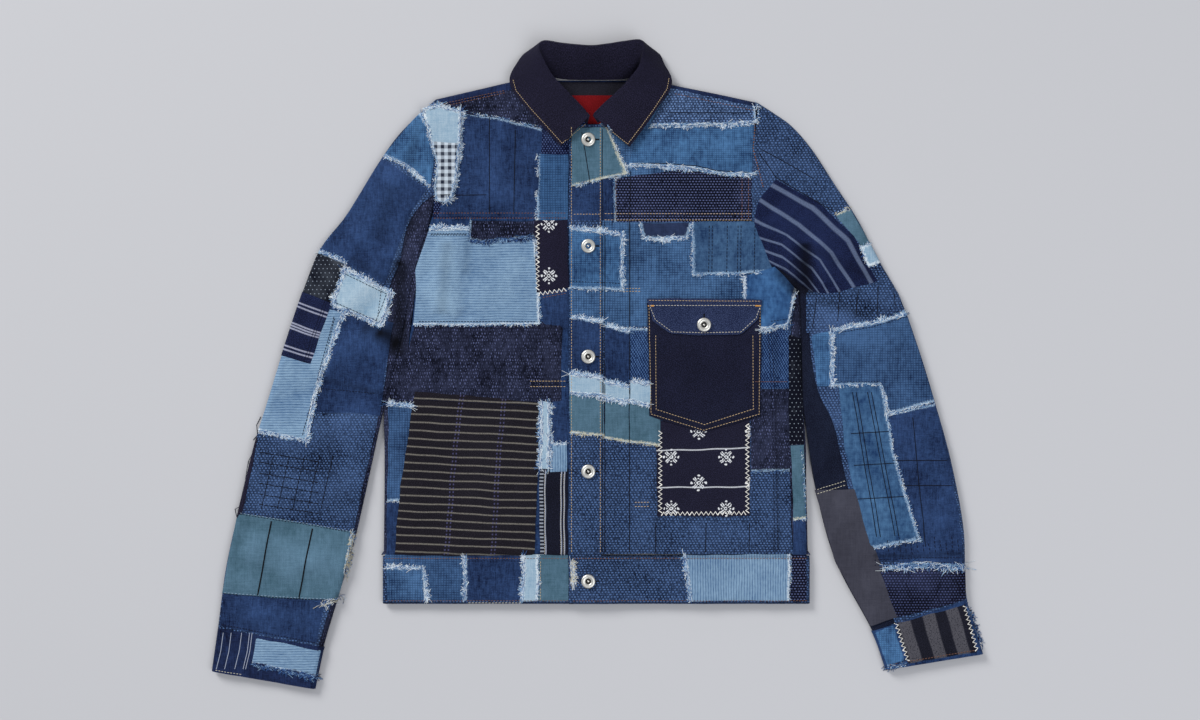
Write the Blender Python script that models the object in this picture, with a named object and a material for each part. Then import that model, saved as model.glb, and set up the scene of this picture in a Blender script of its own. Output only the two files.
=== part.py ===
"""A patched work jacket laid flat on its back, fronts closed and sleeves beside the body.

All lengths below are in millimetres and are turned into metres when a mesh is made. The jacket
lies on z = 0 with its collar towards +Y. Right and left are the wearer's: the right sleeve is
at -X. Every cloth piece starts as a flat grid, which a function lays on the middle surface of
its wall, and Solidify gives it the wall. A sewn-on patch is cut from the surface of the panel
that carries it, moved out.
"""
import math

import bmesh
import bpy
from mathutils import Vector

MM = 0.001

# Cloth walls and the gaps between them.
WALL = 2.4
PATCH_WALL = 1.0
POCKET_WALL = 2.0
FACING_WALL = 1.2
LABEL_WALL = 0.8
SEAM_GAP = 0.3
CURVED_SEAM_GAP = 0.8
SLEEVE_SEAM_GAP = 1.1
LAYER_GAP = 0.35

# The two layers of a body or sleeve: middle of the lower wall, of the upper wall, and between.
LOWER_MIDDLE = WALL / 2
FOLD_RADIUS = 3.1
FOLD_CENTRE = LOWER_MIDDLE + FOLD_RADIUS
UPPER_MIDDLE = FOLD_CENTRE + FOLD_RADIUS
LAP_RISE = WALL + SEAM_GAP

# Levels and seams of the body.
HEM_Y = -285.4
BAND_Y = -228.0
YOKE_Y = 176.0
BACK_YOKE_Y = 180.0
PLACKET_RIGHT_X = -34.0
PLACKET_LEFT_X = 5.0
UNDERLAP_X = 2.0
LAP_FADE_X = 45.0

# Armhole seams from the shoulder tip down to the armpit: x, y.
ARMHOLE_RIGHT = [(-193, 318), (-191, 246), (-195, 192), (-203, 160), (-221, 114)]
ARMHOLE_LEFT = [(191, 314), (186, 258), (184, 215), (187, 172), (207, 112)]

# Where the body's seams follow the armholes: x, y from the armpit up.
FRONT_ARM_RIGHT = [(-202.4, 160.0), (-198.6, 175.7)]
FRONT_ARM_LEFT = [(205.6, 113.6), (195.5, 144.0), (185.9, 175.7)]
FRONT_ARM_LEFT_LEVELS = (118.0, 147.0, 175.7)
BACK_ARM_RIGHT = [(-202.4, 160.0), (-197.4, 179.7)]
BACK_ARM_LEFT = [(204.6, 113.6), (185.6, 179.7)]

# Upper and armhole edges of the front yokes: x, y.
YOKE_TOP_RIGHT = [
    (-191.5, 309.4), (-109, 329.2), (-72, 337), (-61, 330), (-47, 314), (-30, 300), (-12, 286),
    (2, 282),
]
YOKE_ARM_RIGHT = [(-197.2, 176), (-194.4, 192), (-190.5, 246), (-191.5, 309.4)]
YOKE_TOP_LEFT = [
    (5.3, 288), (19, 300), (35, 315), (48, 328), (60, 331.4), (88, 326.6), (188.8, 305.6),
]
YOKE_ARM_LEFT = [(185.7, 176), (183.4, 215), (185.4, 258), (188.8, 305.6)]

# The placket's upper end.
PLACKET_TOP_Y = 286.0
PLACKET_TOP_DROP = 8.0

# Side folds of the body and the side panels' reach on the front and on the back:
# y, x of the fold, reach on the front, reach on the back.
SIDE_RIGHT = [
    (-228, -256, 23, 40),
    (-190, -255.5, 25, 40),
    (-145, -255, 25, 40),
    (-100, -254, 26, 40),
    (-46, -253, 26, 38),
    (-6, -241, 16, 34),
    (42, -231, 9, 28),
    (78, -225, 8, 20),
    (114, -219, 7, 10),
]
SIDE_LEFT = [
    (-228, 252, 18, 40),
    (-186, 251, 20, 40),
    (-140, 249, 20, 40),
    (-96, 247, 20, 40),
    (-42, 243, 20, 38),
    (0, 242.5, 18, 34),
    (32, 242, 13, 28),
    (60, 242, 10, 20),
    (92, 240, 8, 10),
]
BAND_RIGHT_X = -257.0
BAND_LEFT_X = 254.0

# Sections of the sleeves from the armhole to the cuff seam: x, y of the outer fold and x, y of
# the inner fold. Then the inner and outer corners of the cuffs' ends.
SLEEVE_RIGHT = [
    (-193, 318, -221.0, 114),
    (-213, 300, -223.6, 102),
    (-238, 275, -225.8, 90),
    (-263, 240, -228.0, 78),
    (-300, 180, -231.0, 62),
    (-332, 138, -234.4, 42),
    (-354, 82, -240.0, 16),
    (-376, 16, -247.4, -18),
    (-395, -46, -258.6, -62),
    (-410, -94, -271.0, -126),
    (-426, -160, -289.0, -206),
    (-444, -240, -309.0, -276),
    (-454, -314, -327.0, -337),
]
SLEEVE_LEFT = [
    (191, 314, 207.0, 112),
    (211, 301, 224.5, 103.4),
    (233, 285, 242.2, 93.6),
    (257, 257, 243.6, 80),
    (283, 217, 244.4, 64),
    (310, 176, 244.8, 44),
    (335, 128, 245.0, 20),
    (362, 80, 245.2, -8),
    (384, 20, 246.0, -44),
    (403, -42, 251.0, -84),
    (423, -115, 262.0, -148),
    (438, -196, 284.0, -234),
    (442, -280, 328.0, -318),
]
CUFF_RIGHT_END = [(-338, -387.4), (-461.4, -366)]
CUFF_LEFT_END = [(345, -364), (461.4, -346)]

# Where the two-piece sleeves are seamed on the upper side, as a length round the sleeve from its
# inner fold: share of the sleeve's length, reach. A negative reach lies on the under side.
SEAM_RIGHT = [(0.0, 84), (0.12, 66), (0.25, 52), (0.38, 34), (0.48, 18), (0.56, 11), (1.0, 10)]
SEAM_LEFT = [(0.0, 40), (0.3, 36), (0.5, 20), (0.64, 15), (0.77, 38), (0.9, 46), (1.0, 33)]
UNDER_SEAM_REACH = 42.0
ARMPIT_OPEN_Y = 88.0
ARMPIT_OPEN_Z = 7.2
FLAT_COLUMNS = 6
LEAST_STEP = 0.6

# Large soft folds that stand up from the cloth: start x, y, end x, y, reach to each side, height.
BODY_FOLDS = [
    (-177, 150, -184, 62, 11, 1.6),
    (-165, 206, -95, 200, 9, 1.0),
    (-208, 96, -165, 62, 12, 1.8),
    (226, 76, 186, 34, 12, 1.8),
    (205, -60, 212, -200, 12, 1.2),
    (-150, -60, -142, -210, 14, 1.0),
    (92, -196, 190, -204, 11, 1.2),
]
SLEEVE_FOLDS = [
    (-236, 238, -290, 150, 16, 2.8),
    (-224, 150, -300, 66, 14, 3.4),
    (-240, 44, -340, -2, 14, 2.8),
    (-262, -62, -384, -84, 15, 2.6),
    (-280, -136, -404, -168, 14, 2.0),
    (-300, -240, -424, -214, 14, 2.4),
    (-322, -306, -438, -292, 11, 1.8),
    (226, 152, 262, 92, 11, 3.6),
    (206, 176, 300, 120, 14, 3.0),
    (256, 52, 362, 26, 15, 2.8),
    (262, -58, 398, -84, 15, 2.2),
    (284, -168, 420, -186, 14, 2.4),
    (318, -262, 428, -240, 12, 2.2),
]

# Stations round the collar from the wearer's right front edge to the left one. The stand is sewn
# on at the seam, turns over at the fold and ends at the edge. Tuck is 0 where the fall lies on
# the fronts and 1 where it hangs behind and turns in on the floor.
COLLAR = [
    # seam x, y, z, fold x, y, z, edge x, y, z, tuck
    (-12, 289, 12.6, -9, 297, 18.0, -44, 261, 13.4, 0.0),
    (-30, 303, 10.4, -24, 313, 19.0, -62, 281, 12.8, 0.0),
    (-48, 318, 10.2, -38, 327, 20.5, -82, 304, 12.4, 0.0),
    (-61, 333, 10.2, -52, 342, 22.0, -100, 326, 12.0, 0.0),
    (-68, 345, 9.6, -60, 354, 23.5, -104.5, 342, 11.0, 0.05),
    (-65, 351, 7.4, -66, 366, 25.0, -96, 360, 8.0, 0.15),
    (-58, 349, 6.2, -69, 377, 26.0, -84, 374, 3.6, 0.45),
    (-50, 344, 5.6, -63, 383, 26.4, -66, 371, 1.5, 0.85),
    (-36, 342, 5.2, -44, 380, 26.6, -46, 362, 1.4, 1.0),
    (-20, 341.6, 5.2, -24, 378, 26.6, -24, 357, 1.4, 1.0),
    (-5, 341.6, 5.2, -6, 377, 26.6, -6, 355, 1.4, 1.0),
    (10, 341.6, 5.2, 12, 379, 26.6, 12, 357, 1.4, 1.0),
    (26, 342, 5.2, 32, 382, 26.6, 34, 362, 1.4, 1.0),
    (40, 344, 5.6, 50, 384, 26.4, 54, 371, 1.5, 0.85),
    (47, 349, 6.2, 55, 377, 26.0, 72, 373, 3.6, 0.45),
    (52, 351, 7.4, 53, 366, 25.0, 80, 358, 8.0, 0.15),
    (55, 345, 9.8, 49, 354, 23.5, 88, 342, 11.4, 0.05),
    (49, 333, 11.2, 40, 342, 22.0, 86, 328, 13.4, 0.0),
    (36, 318, 12.4, 25, 326, 20.5, 70, 304, 14.0, 0.0),
    (19, 303, 13.0, 9, 312, 19.6, 54, 281, 14.4, 0.0),
    (0, 289, 13.6, -6, 297, 19.4, 38, 260, 15.0, 0.0),
]

# The back yoke's upper edge: x, y, and 1 where it turns over the shoulder, 0 at the neck.
SHOULDER = [
    (-193, 318, 1.0), (-150, 328, 1.0), (-107, 338, 1.0), (-80, 343.5, 1.0), (-67, 344, 0.5),
    (-52, 341.6, 0.0), (-30, 341, 0.0), (-6, 341, 0.0), (18, 341, 0.0), (41, 341.6, 0.0),
    (54, 343, 0.5), (66, 341, 1.0), (88, 335.5, 1.0), (140, 325, 1.0), (191, 314, 1.0),
]
SHOULDER_RUN = 8.0
SHOULDER_TURN_RUN = 0.9
SHOULDER_UPPER_Z = 6.5
SHOULDER_LOWER_Z = 2.1
YOKE_TURN_STEPS = 8

# Where the yoke isn't turned over, its neck edge: distance in from the edge, height.
NECK_LIP = [(0.6, 3.9), (0.3, 3.4), (0.5, 2.7), (1.0, 2.0), (1.9, 1.5), (FOLD_RADIUS, LOWER_MIDDLE)]

# Stations of the waistband's flat stretches: x on the right front, the back and the left front.
BAND_STATIONS_RIGHT = (UNDERLAP_X, PLACKET_RIGHT_X, -80.0, -145.0, -200.0)
BAND_STATIONS_BACK = (-85.0, 85.0)
BAND_STATIONS_LEFT = (200.0, 145.0, 90.0, LAP_FADE_X)
BAND_STATIONS_LAP = (35.0, 25.0, 15.0)
BEND_DEGREES = (90, 45, 0, -45, -90)

# Buttons.
BUTTON_RADIUS = 8.5
BUTTON_HEIGHT = 2.8
BUTTON_STEPS = 12
BUTTON_X = -11.0
BUTTON_ROWS = (269, 142, 10, -127, -258)
POCKET_BUTTON = (127, 48)

# The patch pocket, its flap and the neck pieces.
POCKET = [(59.5, 74), (62, -60), (127, -80), (195, -60), (196, 74)]
FLAP = [(59.5, 79), (66, 52), (88, 37), (172, 37), (191, 55), (196.5, 78)]
NECK_FACING = [(-50, 338), (-44, 305), (-8, 262), (30, 305), (39, 338)]
NECK_LABEL = [(-34, 323), (-34, 287), (22, 287), (22, 323)]
NECK_AREA_X = (-60.0, 50.0)
NECK_AREA_Y = (255.0, 345.0)

# How the collar's wall is laid: steps in the stand and the fall, and the fall's bow.
STAND_STEPS = 3
FALL_STEPS = 5
STAND_BOW = 2.0
FALL_BOW = 3.0
FALL_SHARE = 0.45
HANG_SHARE = 0.3
HANG_RUN = 11.0
HANG_Z = -1.0

# A patch stops where its carrier turns down lower than this over its own level.
PATCH_LEAST_RISE = 0.6
SHARP_DEGREES = 40.0
FLAT_DEGREES = 0.1

# Colours in linear light.
INDIGO = (0.035, 0.075, 0.175)
MID_BLUE = (0.045, 0.105, 0.230)
DARK_BLUE = (0.018, 0.040, 0.110)
NAVY = (0.012, 0.016, 0.040)
BLACK_NAVY = (0.010, 0.010, 0.020)
PALE_BLUE = (0.300, 0.450, 0.620)
LIGHT_BLUE = (0.200, 0.340, 0.520)
TEAL = (0.070, 0.150, 0.160)
CHARCOAL = (0.020, 0.020, 0.026)
CHECK_GREY = (0.150, 0.160, 0.180)
LABEL_RED = (0.300, 0.020, 0.030)
STEEL = (0.500, 0.500, 0.500)

# Patches: name, carrying piece, colour, outline x, y.
PATCHES = [
    ("patch_pale_shoulder", "front_yoke_right", PALE_BLUE,
     [(-189, 300), (-164, 303), (-164, 283), (-171, 264), (-187, 264)]),
    ("patch_gingham_shoulder", "front_yoke_right", CHECK_GREY,
     [(-187, 263), (-171, 263), (-170, 217), (-178, 195), (-190, 199)]),
    ("patch_rib_chest", "front_panel_right", LIGHT_BLUE,
     [(-197, 160), (-75, 150), (-70, 49), (-218, 49)]),
    ("patch_motif_placket", "front_panel_right", NAVY,
     [(-73, 172), (-38, 172), (-38, 86), (-69, 86)]),
    ("patch_speckled", "front_panel_right", DARK_BLUE,
     [(-220, 48), (-43, 48), (-45, -34), (-225, -32)]),
    ("patch_striped_belly", "front_panel_right", CHARCOAL,
     [(-219, -34), (-69, -44), (-76, -225), (-230, -225)]),
    ("patch_narrow_ruled", "front_panel_right", NAVY,
     [(-67, -44), (-39, -44), (-38, -225), (-74, -225)]),
    ("patch_teal_neck", "front_yoke_left", TEAL,
     [(7, 276), (12, 280), (30, 257), (33, 230), (7, 225)]),
    ("patch_linen_yoke", "front_yoke_left", MID_BLUE,
     [(45, 270), (183, 282), (181, 233), (37, 240)]),
    ("patch_dotted_yoke", "front_yoke_left", DARK_BLUE,
     [(19, 222), (51, 236), (181, 226), (182, 179), (19, 179)]),
    ("patch_ruled_chest", "front_panel_left", MID_BLUE,
     [(111, 168), (184, 168), (201, 112), (113, 107)]),
    ("patch_bright_chest", "front_panel_left", MID_BLUE,
     [(198, 103), (206, 104), (226, 92), (222, 60), (199, 57)]),
    ("patch_teal_band", "front_panel_left", TEAL,
     [(9, -40), (56, -44), (56, -98), (9, -94)]),
    ("patch_pale_band", "front_panel_left", PALE_BLUE,
     [(9, -16), (56, -26), (56, -43), (9, -39)]),
    ("patch_motif_belly", "front_panel_left", NAVY,
     [(69, -82), (182, -82), (182, -181), (69, -182)]),
    ("patch_dark_side", "front_panel_left", DARK_BLUE,
     [(198, -24), (219, -24), (225, -144), (198, -144)]),
    ("patch_rib_band", "waistband", LIGHT_BLUE,
     [(104, -231), (231, -231), (229, -279), (111, -283)]),
    ("patch_teal_band_end", "waistband", TEAL,
     [(-71, -231), (-38, -231), (-38, -283), (-71, -283)]),
    ("patch_dark_band", "waistband", DARK_BLUE,
     [(-158, -231), (-87, -231), (-87, -283), (-158, -283)]),
    ("patch_blue_shoulder", "sleeve_right_top", MID_BLUE,
     [(-216, 292), (-250, 250), (-206, 222), (-199, 240), (-206, 282)]),
    ("patch_dotted_sleeve", "sleeve_right_top", NAVY,
     [(-328, 136), (-300, 124), (-321, 70), (-354, 77)]),
    ("patch_banded_sleeve", "sleeve_right_top", NAVY,
     [(-355, 76), (-322, 68), (-343, 4), (-377, 12)]),
    ("patch_pale_sleeve", "sleeve_right_top", PALE_BLUE,
     [(-299, 116), (-262, 96), (-268, 56), (-318, 72)]),
    ("patch_rib_sleeve", "sleeve_right_top", LIGHT_BLUE,
     [(-342, 3), (-331, 8), (-336, -32), (-346, -92), (-401, -80), (-376, 10)]),
    ("patch_teal_sleeve", "sleeve_right_top", TEAL,
     [(-424, -176), (-292, -199), (-312, -276), (-447, -272)]),
    ("patch_striped_sleeve", "sleeve_left_top", NAVY,
     [(212, 220), (280, 182), (330, 104), (310, 94), (267, 92), (200, 200)]),
    ("patch_teal_edge", "sleeve_left_top", TEAL,
     [(286, 178), (304, 184), (324, 146), (312, 138)]),
    ("patch_linen_sleeve", "sleeve_left_top", MID_BLUE,
     [(282, 42), (365, 57), (391, -20), (340, -23), (284, -22)]),
    ("patch_ruled_sleeve", "sleeve_left_top", MID_BLUE,
     [(302, -25), (339, -25), (349, -60), (384, -208), (334, -216), (304, -102)]),
    ("patch_dotted_cuff_end", "sleeve_left_top", DARK_BLUE,
     [(340, -248), (434, -246), (436, -276), (362, -294)]),
    ("patch_striped_cuff", "cuff_left", CHARCOAL,
     [(355, -316), (444, -292), (452, -340), (371, -354)]),
    ("patch_rib_cuff", "cuff_right", LIGHT_BLUE,
     [(-409, -328), (-336, -342), (-342, -376), (-413, -366)]),
]


def clear_scene():
    for item in list(bpy.data.objects):
        bpy.data.objects.remove(item)


def blend(start, end, share):
    return start + (end - start) * share


def smooth_step(value):
    value = min(max(value, 0.0), 1.0)
    return value * value * (3.0 - 2.0 * value)


def along(points, share):
    """The point at a share of an open outline's length."""
    spans = [math.dist(a, b) for a, b in zip(points, points[1:])]
    left = share * sum(spans)
    for index, span in enumerate(spans):
        if left <= span or index == len(spans) - 1:
            part = left / span
            return tuple(blend(a, b, part) for a, b in zip(points[index], points[index + 1]))
        left -= span


def read_table(rows, key, column):
    """A column's value at a key, between the rows of a table whose first column rises."""
    if key <= rows[0][0]:
        return rows[0][column]
    for low, high in zip(rows, rows[1:]):
        if key <= high[0]:
            share = (key - low[0]) / (high[0] - low[0])
            return blend(low[column], high[column], share)
    return rows[-1][column]


def rising(rows):
    return sorted(rows, key=lambda row: row[0])


def between_rows(points, share):
    """The point at a share of an outline's rows, which need not be evenly spaced."""
    place = share * (len(points) - 1)
    index = min(int(place), len(points) - 2)
    return tuple(blend(a, b, place - index) for a, b in zip(points[index], points[index + 1]))


def four_sided(low, high, left, right, upward_rule=along):
    """Lays the unit square between four outlines: low and high run with u, left and right with v."""

    def place(u, v):
        point = []
        for axis in (0, 1):
            across = blend(along(low, u)[axis], along(high, u)[axis], v)
            upward = blend(upward_rule(left, v)[axis], upward_rule(right, v)[axis], u)
            corners = blend(
                blend(low[0][axis], low[-1][axis], u), blend(high[0][axis], high[-1][axis], u), v
            )
            point.append(across + upward - corners)
        return point

    return place


def fold_height(folds, x, y):
    """How far the soft folds lift the cloth at a point."""
    height = 0.0
    for start_x, start_y, end_x, end_y, reach, rise in folds:
        run_x = end_x - start_x
        run_y = end_y - start_y
        length = math.hypot(run_x, run_y)
        travel = ((x - start_x) * run_x + (y - start_y) * run_y) / length
        beside = abs((x - start_x) * run_y - (y - start_y) * run_x) / length
        end_fade = smooth_step(min(travel, length - travel) / reach + 0.5)
        height += rise * end_fade * smooth_step(1.0 - beside / (2.0 * reach))
    return height


def front_middle(x, y):
    """Middle of the upper body wall, with the lap of the left front over the right one."""
    lift = 0.0
    if x > PLACKET_LEFT_X:
        lift = LAP_RISE * smooth_step((LAP_FADE_X - x) / (LAP_FADE_X - PLACKET_LEFT_X))
    return UPPER_MIDDLE + lift + fold_height(BODY_FOLDS, x, y)


def lay_grid(columns, rows, place):
    """A grid whose unit square is laid in space by a function of u and v."""
    cloth = bmesh.new()
    bmesh.ops.create_grid(cloth, x_segments=columns, y_segments=rows, size=0.5)
    for corner in cloth.verts:
        corner.co = Vector(place(corner.co.x + 0.5, corner.co.y + 0.5))
    bmesh.ops.triangulate(cloth, faces=cloth.faces[:])
    bmesh.ops.recalc_face_normals(cloth, faces=cloth.faces[:])
    cloth.normal_update()
    return cloth


def cloth_material(name, colour, roughness, metallic):
    material = bpy.data.materials.new(name)
    material.use_nodes = True
    shader = material.node_tree.nodes["Principled BSDF"]
    shader.inputs["Base Color"].default_value = (*colour, 1.0)
    shader.inputs["Roughness"].default_value = roughness
    shader.inputs["Metallic"].default_value = metallic
    return material


def add_object(name, body, colour, roughness=0.9, metallic=0.0):
    """Turns a bmesh in millimetres into a named object in metres."""
    bmesh.ops.scale(body, vec=(MM, MM, MM), verts=body.verts[:])
    mesh = bpy.data.meshes.new(name)
    body.to_mesh(mesh)
    body.free()
    mesh.shade_smooth()
    mesh.set_sharp_from_angle(angle=math.radians(SHARP_DEGREES))
    mesh.materials.append(cloth_material(name + "_cloth", colour, roughness, metallic))
    item = bpy.data.objects.new(name, mesh)
    bpy.context.collection.objects.link(item)
    return item


def add_wall(name, cloth, wall, colour):
    """Adds a cloth piece from its middle surface, whose flat stretches become single faces."""
    bmesh.ops.dissolve_limit(
        cloth, angle_limit=math.radians(FLAT_DEGREES), use_dissolve_boundaries=False,
        verts=cloth.verts[:], edges=cloth.edges[:], delimit=set()
    )
    bmesh.ops.triangulate(cloth, faces=cloth.faces[:])
    item = add_object(name, cloth, colour)
    solidify = item.modifiers.new("wall", "SOLIDIFY")
    solidify.thickness = wall * MM
    solidify.offset = 0.0
    solidify.use_rim = True
    item.modifiers.new("triangles", "TRIANGULATE")
    return item


def trimmed(cloth, outline, inset, lowest=None):
    """Cuts a surface to a convex outline seen from above, and to what lies above a level."""
    centre_x = sum(point[0] for point in outline) / len(outline)
    centre_y = sum(point[1] for point in outline) / len(outline)
    centre = Vector((centre_x, centre_y, 0.0))
    for start, end in zip(outline, outline[1:] + outline[:1]):
        edge = Vector((end[0] - start[0], end[1] - start[1], 0.0))
        outward = Vector((edge.y, -edge.x, 0.0)).normalized()
        corner = Vector((start[0], start[1], 0.0))
        if outward.dot(centre - corner) > 0.0:
            outward.negate()
        cut(cloth, corner - outward * inset, outward)
    if lowest is not None:
        cut(cloth, Vector((0.0, 0.0, lowest)), Vector((0.0, 0.0, -1.0)))
    return cloth


def cut(cloth, corner, outward):
    parts = cloth.verts[:] + cloth.edges[:] + cloth.faces[:]
    bmesh.ops.bisect_plane(
        cloth, geom=parts, dist=0.0001, plane_co=corner, plane_no=outward, clear_outer=True
    )


def moved_out(cloth, distance):
    """A copy of a surface, moved out along its normals with its upper side up."""
    copy = cloth.copy()
    copy.normal_update()
    highest = max(copy.verts, key=lambda corner: corner.co.z)
    way = 1.0 if highest.normal.z > 0.0 else -1.0
    for corner in copy.verts:
        corner.co += corner.normal * distance * way
    return copy


def make_front_pieces(surfaces):
    """Fronts and front yokes, lying on the back with their seams beside each other."""
    right_edge = [(row[1] + row[2] + CURVED_SEAM_GAP, row[0]) for row in SIDE_RIGHT]
    right_edge += FRONT_ARM_RIGHT
    right_edge[0] = (right_edge[0][0], BAND_Y + SEAM_GAP)
    left_edge = [(row[1] - row[2] - CURVED_SEAM_GAP, row[0]) for row in SIDE_LEFT]
    left_edge += FRONT_ARM_LEFT
    left_edge[0] = (left_edge[0][0], BAND_Y + SEAM_GAP)
    right_front = [(UNDERLAP_X, y) for x, y in right_edge]
    left_front = [(PLACKET_LEFT_X + SEAM_GAP, y) for x, y in left_edge]
    left_front[-3:] = [(PLACKET_LEFT_X + SEAM_GAP, y) for y in FRONT_ARM_LEFT_LEVELS]
    panels = (
        ("front_panel_right", 12, 20, INDIGO,
         [right_edge[0], right_front[0]], [right_edge[-1], right_front[-1]],
         right_edge, right_front),
        ("front_panel_left", 12, 22, INDIGO,
         [left_front[0], left_edge[0]], [left_front[-1], left_edge[-1]],
         left_front, left_edge),
        ("front_yoke_right", 9, 6, INDIGO,
         [YOKE_ARM_RIGHT[0], (UNDERLAP_X, YOKE_Y)], YOKE_TOP_RIGHT,
         YOKE_ARM_RIGHT, [(UNDERLAP_X, YOKE_Y), YOKE_TOP_RIGHT[-1]]),
        ("front_yoke_left", 8, 6, INDIGO,
         [(PLACKET_LEFT_X + SEAM_GAP, YOKE_Y), YOKE_ARM_LEFT[0]], YOKE_TOP_LEFT,
         [(PLACKET_LEFT_X + SEAM_GAP, YOKE_Y), YOKE_TOP_LEFT[0]], YOKE_ARM_LEFT),
    )
    for name, columns, rows, colour, low, high, left, right in panels:
        rule = between_rows if name.startswith("front_panel") else along
        plan = four_sided(low, high, left, right, rule)

        def place(u, v):
            x, y = plan(u, v)
            return (x, y, front_middle(x, y))

        surfaces[name] = lay_grid(columns, rows, place)
        add_wall(name, surfaces[name].copy(), WALL, colour)


def make_placket(surfaces):
    """The left front's buttonhole strip, from the neck to the waistband, over the right front."""
    low_y = BAND_Y + SEAM_GAP

    def place(u, v):
        x = blend(PLACKET_RIGHT_X, PLACKET_LEFT_X, u)
        y = blend(low_y, PLACKET_TOP_Y + PLACKET_TOP_DROP * (0.5 - u), v)
        return (x, y, UPPER_MIDDLE + LAP_RISE)

    surfaces["placket"] = lay_grid(2, 8, place)
    add_wall("placket", surfaces["placket"].copy(), WALL, MID_BLUE)


def make_side_panels(surfaces):
    """Strips that turn round the side folds from the front to the back."""
    for name, table, way in (("side_panel_right", SIDE_RIGHT, 1.0), ("side_panel_left", SIDE_LEFT, -1.0)):
        quarter = math.pi / 2 * FOLD_RADIUS

        def place(u, v):
            y, fold_x, on_front, on_back = between_rows(table, v)
            y = max(y, BAND_Y + SEAM_GAP)
            fold_x += way * WALL / 2
            on_front -= FOLD_RADIUS + WALL / 2
            on_back -= FOLD_RADIUS + WALL / 2
            stations = [quarter + on_front, quarter, quarter / 2, 0.0]
            stations += [-quarter / 2, -quarter, -quarter - on_back]
            reach = stations[round(u * 6)]
            inward, height = round_fold(reach)
            x = fold_x + way * inward
            level = FOLD_CENTRE + height
            if height > 0.0:
                level += fold_height(BODY_FOLDS, x, y) * height / FOLD_RADIUS
            return (x, y, level)

        surfaces[name] = lay_grid(6, 2 * (len(table) - 1), place)
        add_wall(name, surfaces[name].copy(), WALL, DARK_BLUE)


def round_fold(reach):
    """Distance in from a fold and height over its centre, for a length along the cloth."""
    quarter = math.pi / 2 * FOLD_RADIUS
    side = 1.0 if reach >= 0.0 else -1.0
    reach = abs(reach)
    if reach < quarter:
        angle = reach / FOLD_RADIUS
        return FOLD_RADIUS * (1.0 - math.cos(angle)), side * FOLD_RADIUS * math.sin(angle)
    return FOLD_RADIUS + reach - quarter, side * FOLD_RADIUS


def make_back(surfaces):
    """The back panel, flat on the floor, and the back yoke, which turns over the shoulders."""
    low_y = BAND_Y + SEAM_GAP
    edge_right = [(row[1] + row[3] + CURVED_SEAM_GAP, row[0]) for row in SIDE_RIGHT]
    edge_left = [(row[1] - row[3] - CURVED_SEAM_GAP, row[0]) for row in SIDE_LEFT]
    edge_right[0] = (edge_right[0][0], low_y)
    edge_left[0] = (edge_left[0][0], low_y)
    edge_right += BACK_ARM_RIGHT
    edge_left += BACK_ARM_LEFT
    plan = four_sided(
        [edge_right[0], edge_left[0]], [edge_right[-1], edge_left[-1]],
        edge_right, edge_left, between_rows
    )

    def place_panel(u, v):
        x, y = plan(u, v)
        return (x, y, LOWER_MIDDLE)

    surfaces["back_panel"] = lay_grid(4, len(edge_right) - 1, place_panel)
    add_wall("back_panel", surfaces["back_panel"].copy(), WALL, INDIGO)

    arm_right = rising([(y, x) for x, y in ARMHOLE_RIGHT])
    arm_left = rising([(y, x) for x, y in ARMHOLE_LEFT])
    width = SHOULDER[-1][0] - SHOULDER[0][0]
    turned = [(SHOULDER_RUN, UPPER_MIDDLE), (FOLD_RADIUS, UPPER_MIDDLE),
              (SHOULDER_TURN_RUN, SHOULDER_UPPER_Z), (0.0, FOLD_CENTRE),
              (SHOULDER_TURN_RUN, SHOULDER_LOWER_Z), (FOLD_RADIUS, LOWER_MIDDLE)]

    def place_yoke(u, v):
        x, edge_y, turn = SHOULDER[round(u * (len(SHOULDER) - 1))]
        step = round(v * YOKE_TURN_STEPS)
        if step < len(turned):
            inward = blend(NECK_LIP[step][0], turned[step][0], turn)
            level = blend(NECK_LIP[step][1], turned[step][1], turn)
            y = edge_y - inward
        else:
            share = (step - len(turned) + 1) / (YOKE_TURN_STEPS - len(turned) + 1)
            y = blend(edge_y - FOLD_RADIUS, BACK_YOKE_Y, share)
            level = LOWER_MIDDLE
        low = read_table(arm_right, y, 1) + SEAM_GAP
        high = read_table(arm_left, y, 1) - SEAM_GAP
        return (blend(low, high, (x - SHOULDER[0][0]) / width), y, level)

    surfaces["back_yoke"] = lay_grid(len(SHOULDER) - 1, YOKE_TURN_STEPS, place_yoke)
    add_wall("back_yoke", surfaces["back_yoke"].copy(), WALL, DARK_BLUE)


def make_waistband(surfaces):
    """One long band: right front end, right side, back, left side, and over to the button."""
    bend = [(1.0 - math.cos(math.radians(a)), math.sin(math.radians(a))) for a in BEND_DEGREES]
    path = [(x, UPPER_MIDDLE) for x in BAND_STATIONS_RIGHT]
    right_x = BAND_RIGHT_X + WALL / 2
    left_x = BAND_LEFT_X - WALL / 2
    path += [(right_x + FOLD_RADIUS * a, FOLD_CENTRE + FOLD_RADIUS * b) for a, b in bend]
    path += [(x, LOWER_MIDDLE) for x in BAND_STATIONS_BACK]
    path += [(left_x - FOLD_RADIUS * a, FOLD_CENTRE + FOLD_RADIUS * b) for a, b in reversed(bend)]
    path += [(x, UPPER_MIDDLE) for x in BAND_STATIONS_LEFT]
    path += [(x, front_middle(x, HEM_Y)) for x in BAND_STATIONS_LAP]
    path += [(PLACKET_LEFT_X, UPPER_MIDDLE + LAP_RISE), (PLACKET_RIGHT_X, UPPER_MIDDLE + LAP_RISE)]

    def place(u, v):
        x, level = path[round(u * (len(path) - 1))]
        return (x, blend(HEM_Y, BAND_Y, v), level)

    surfaces["waistband"] = lay_grid(len(path) - 1, 2, place)
    add_wall("waistband", surfaces["waistband"].copy(), WALL, INDIGO)


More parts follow.
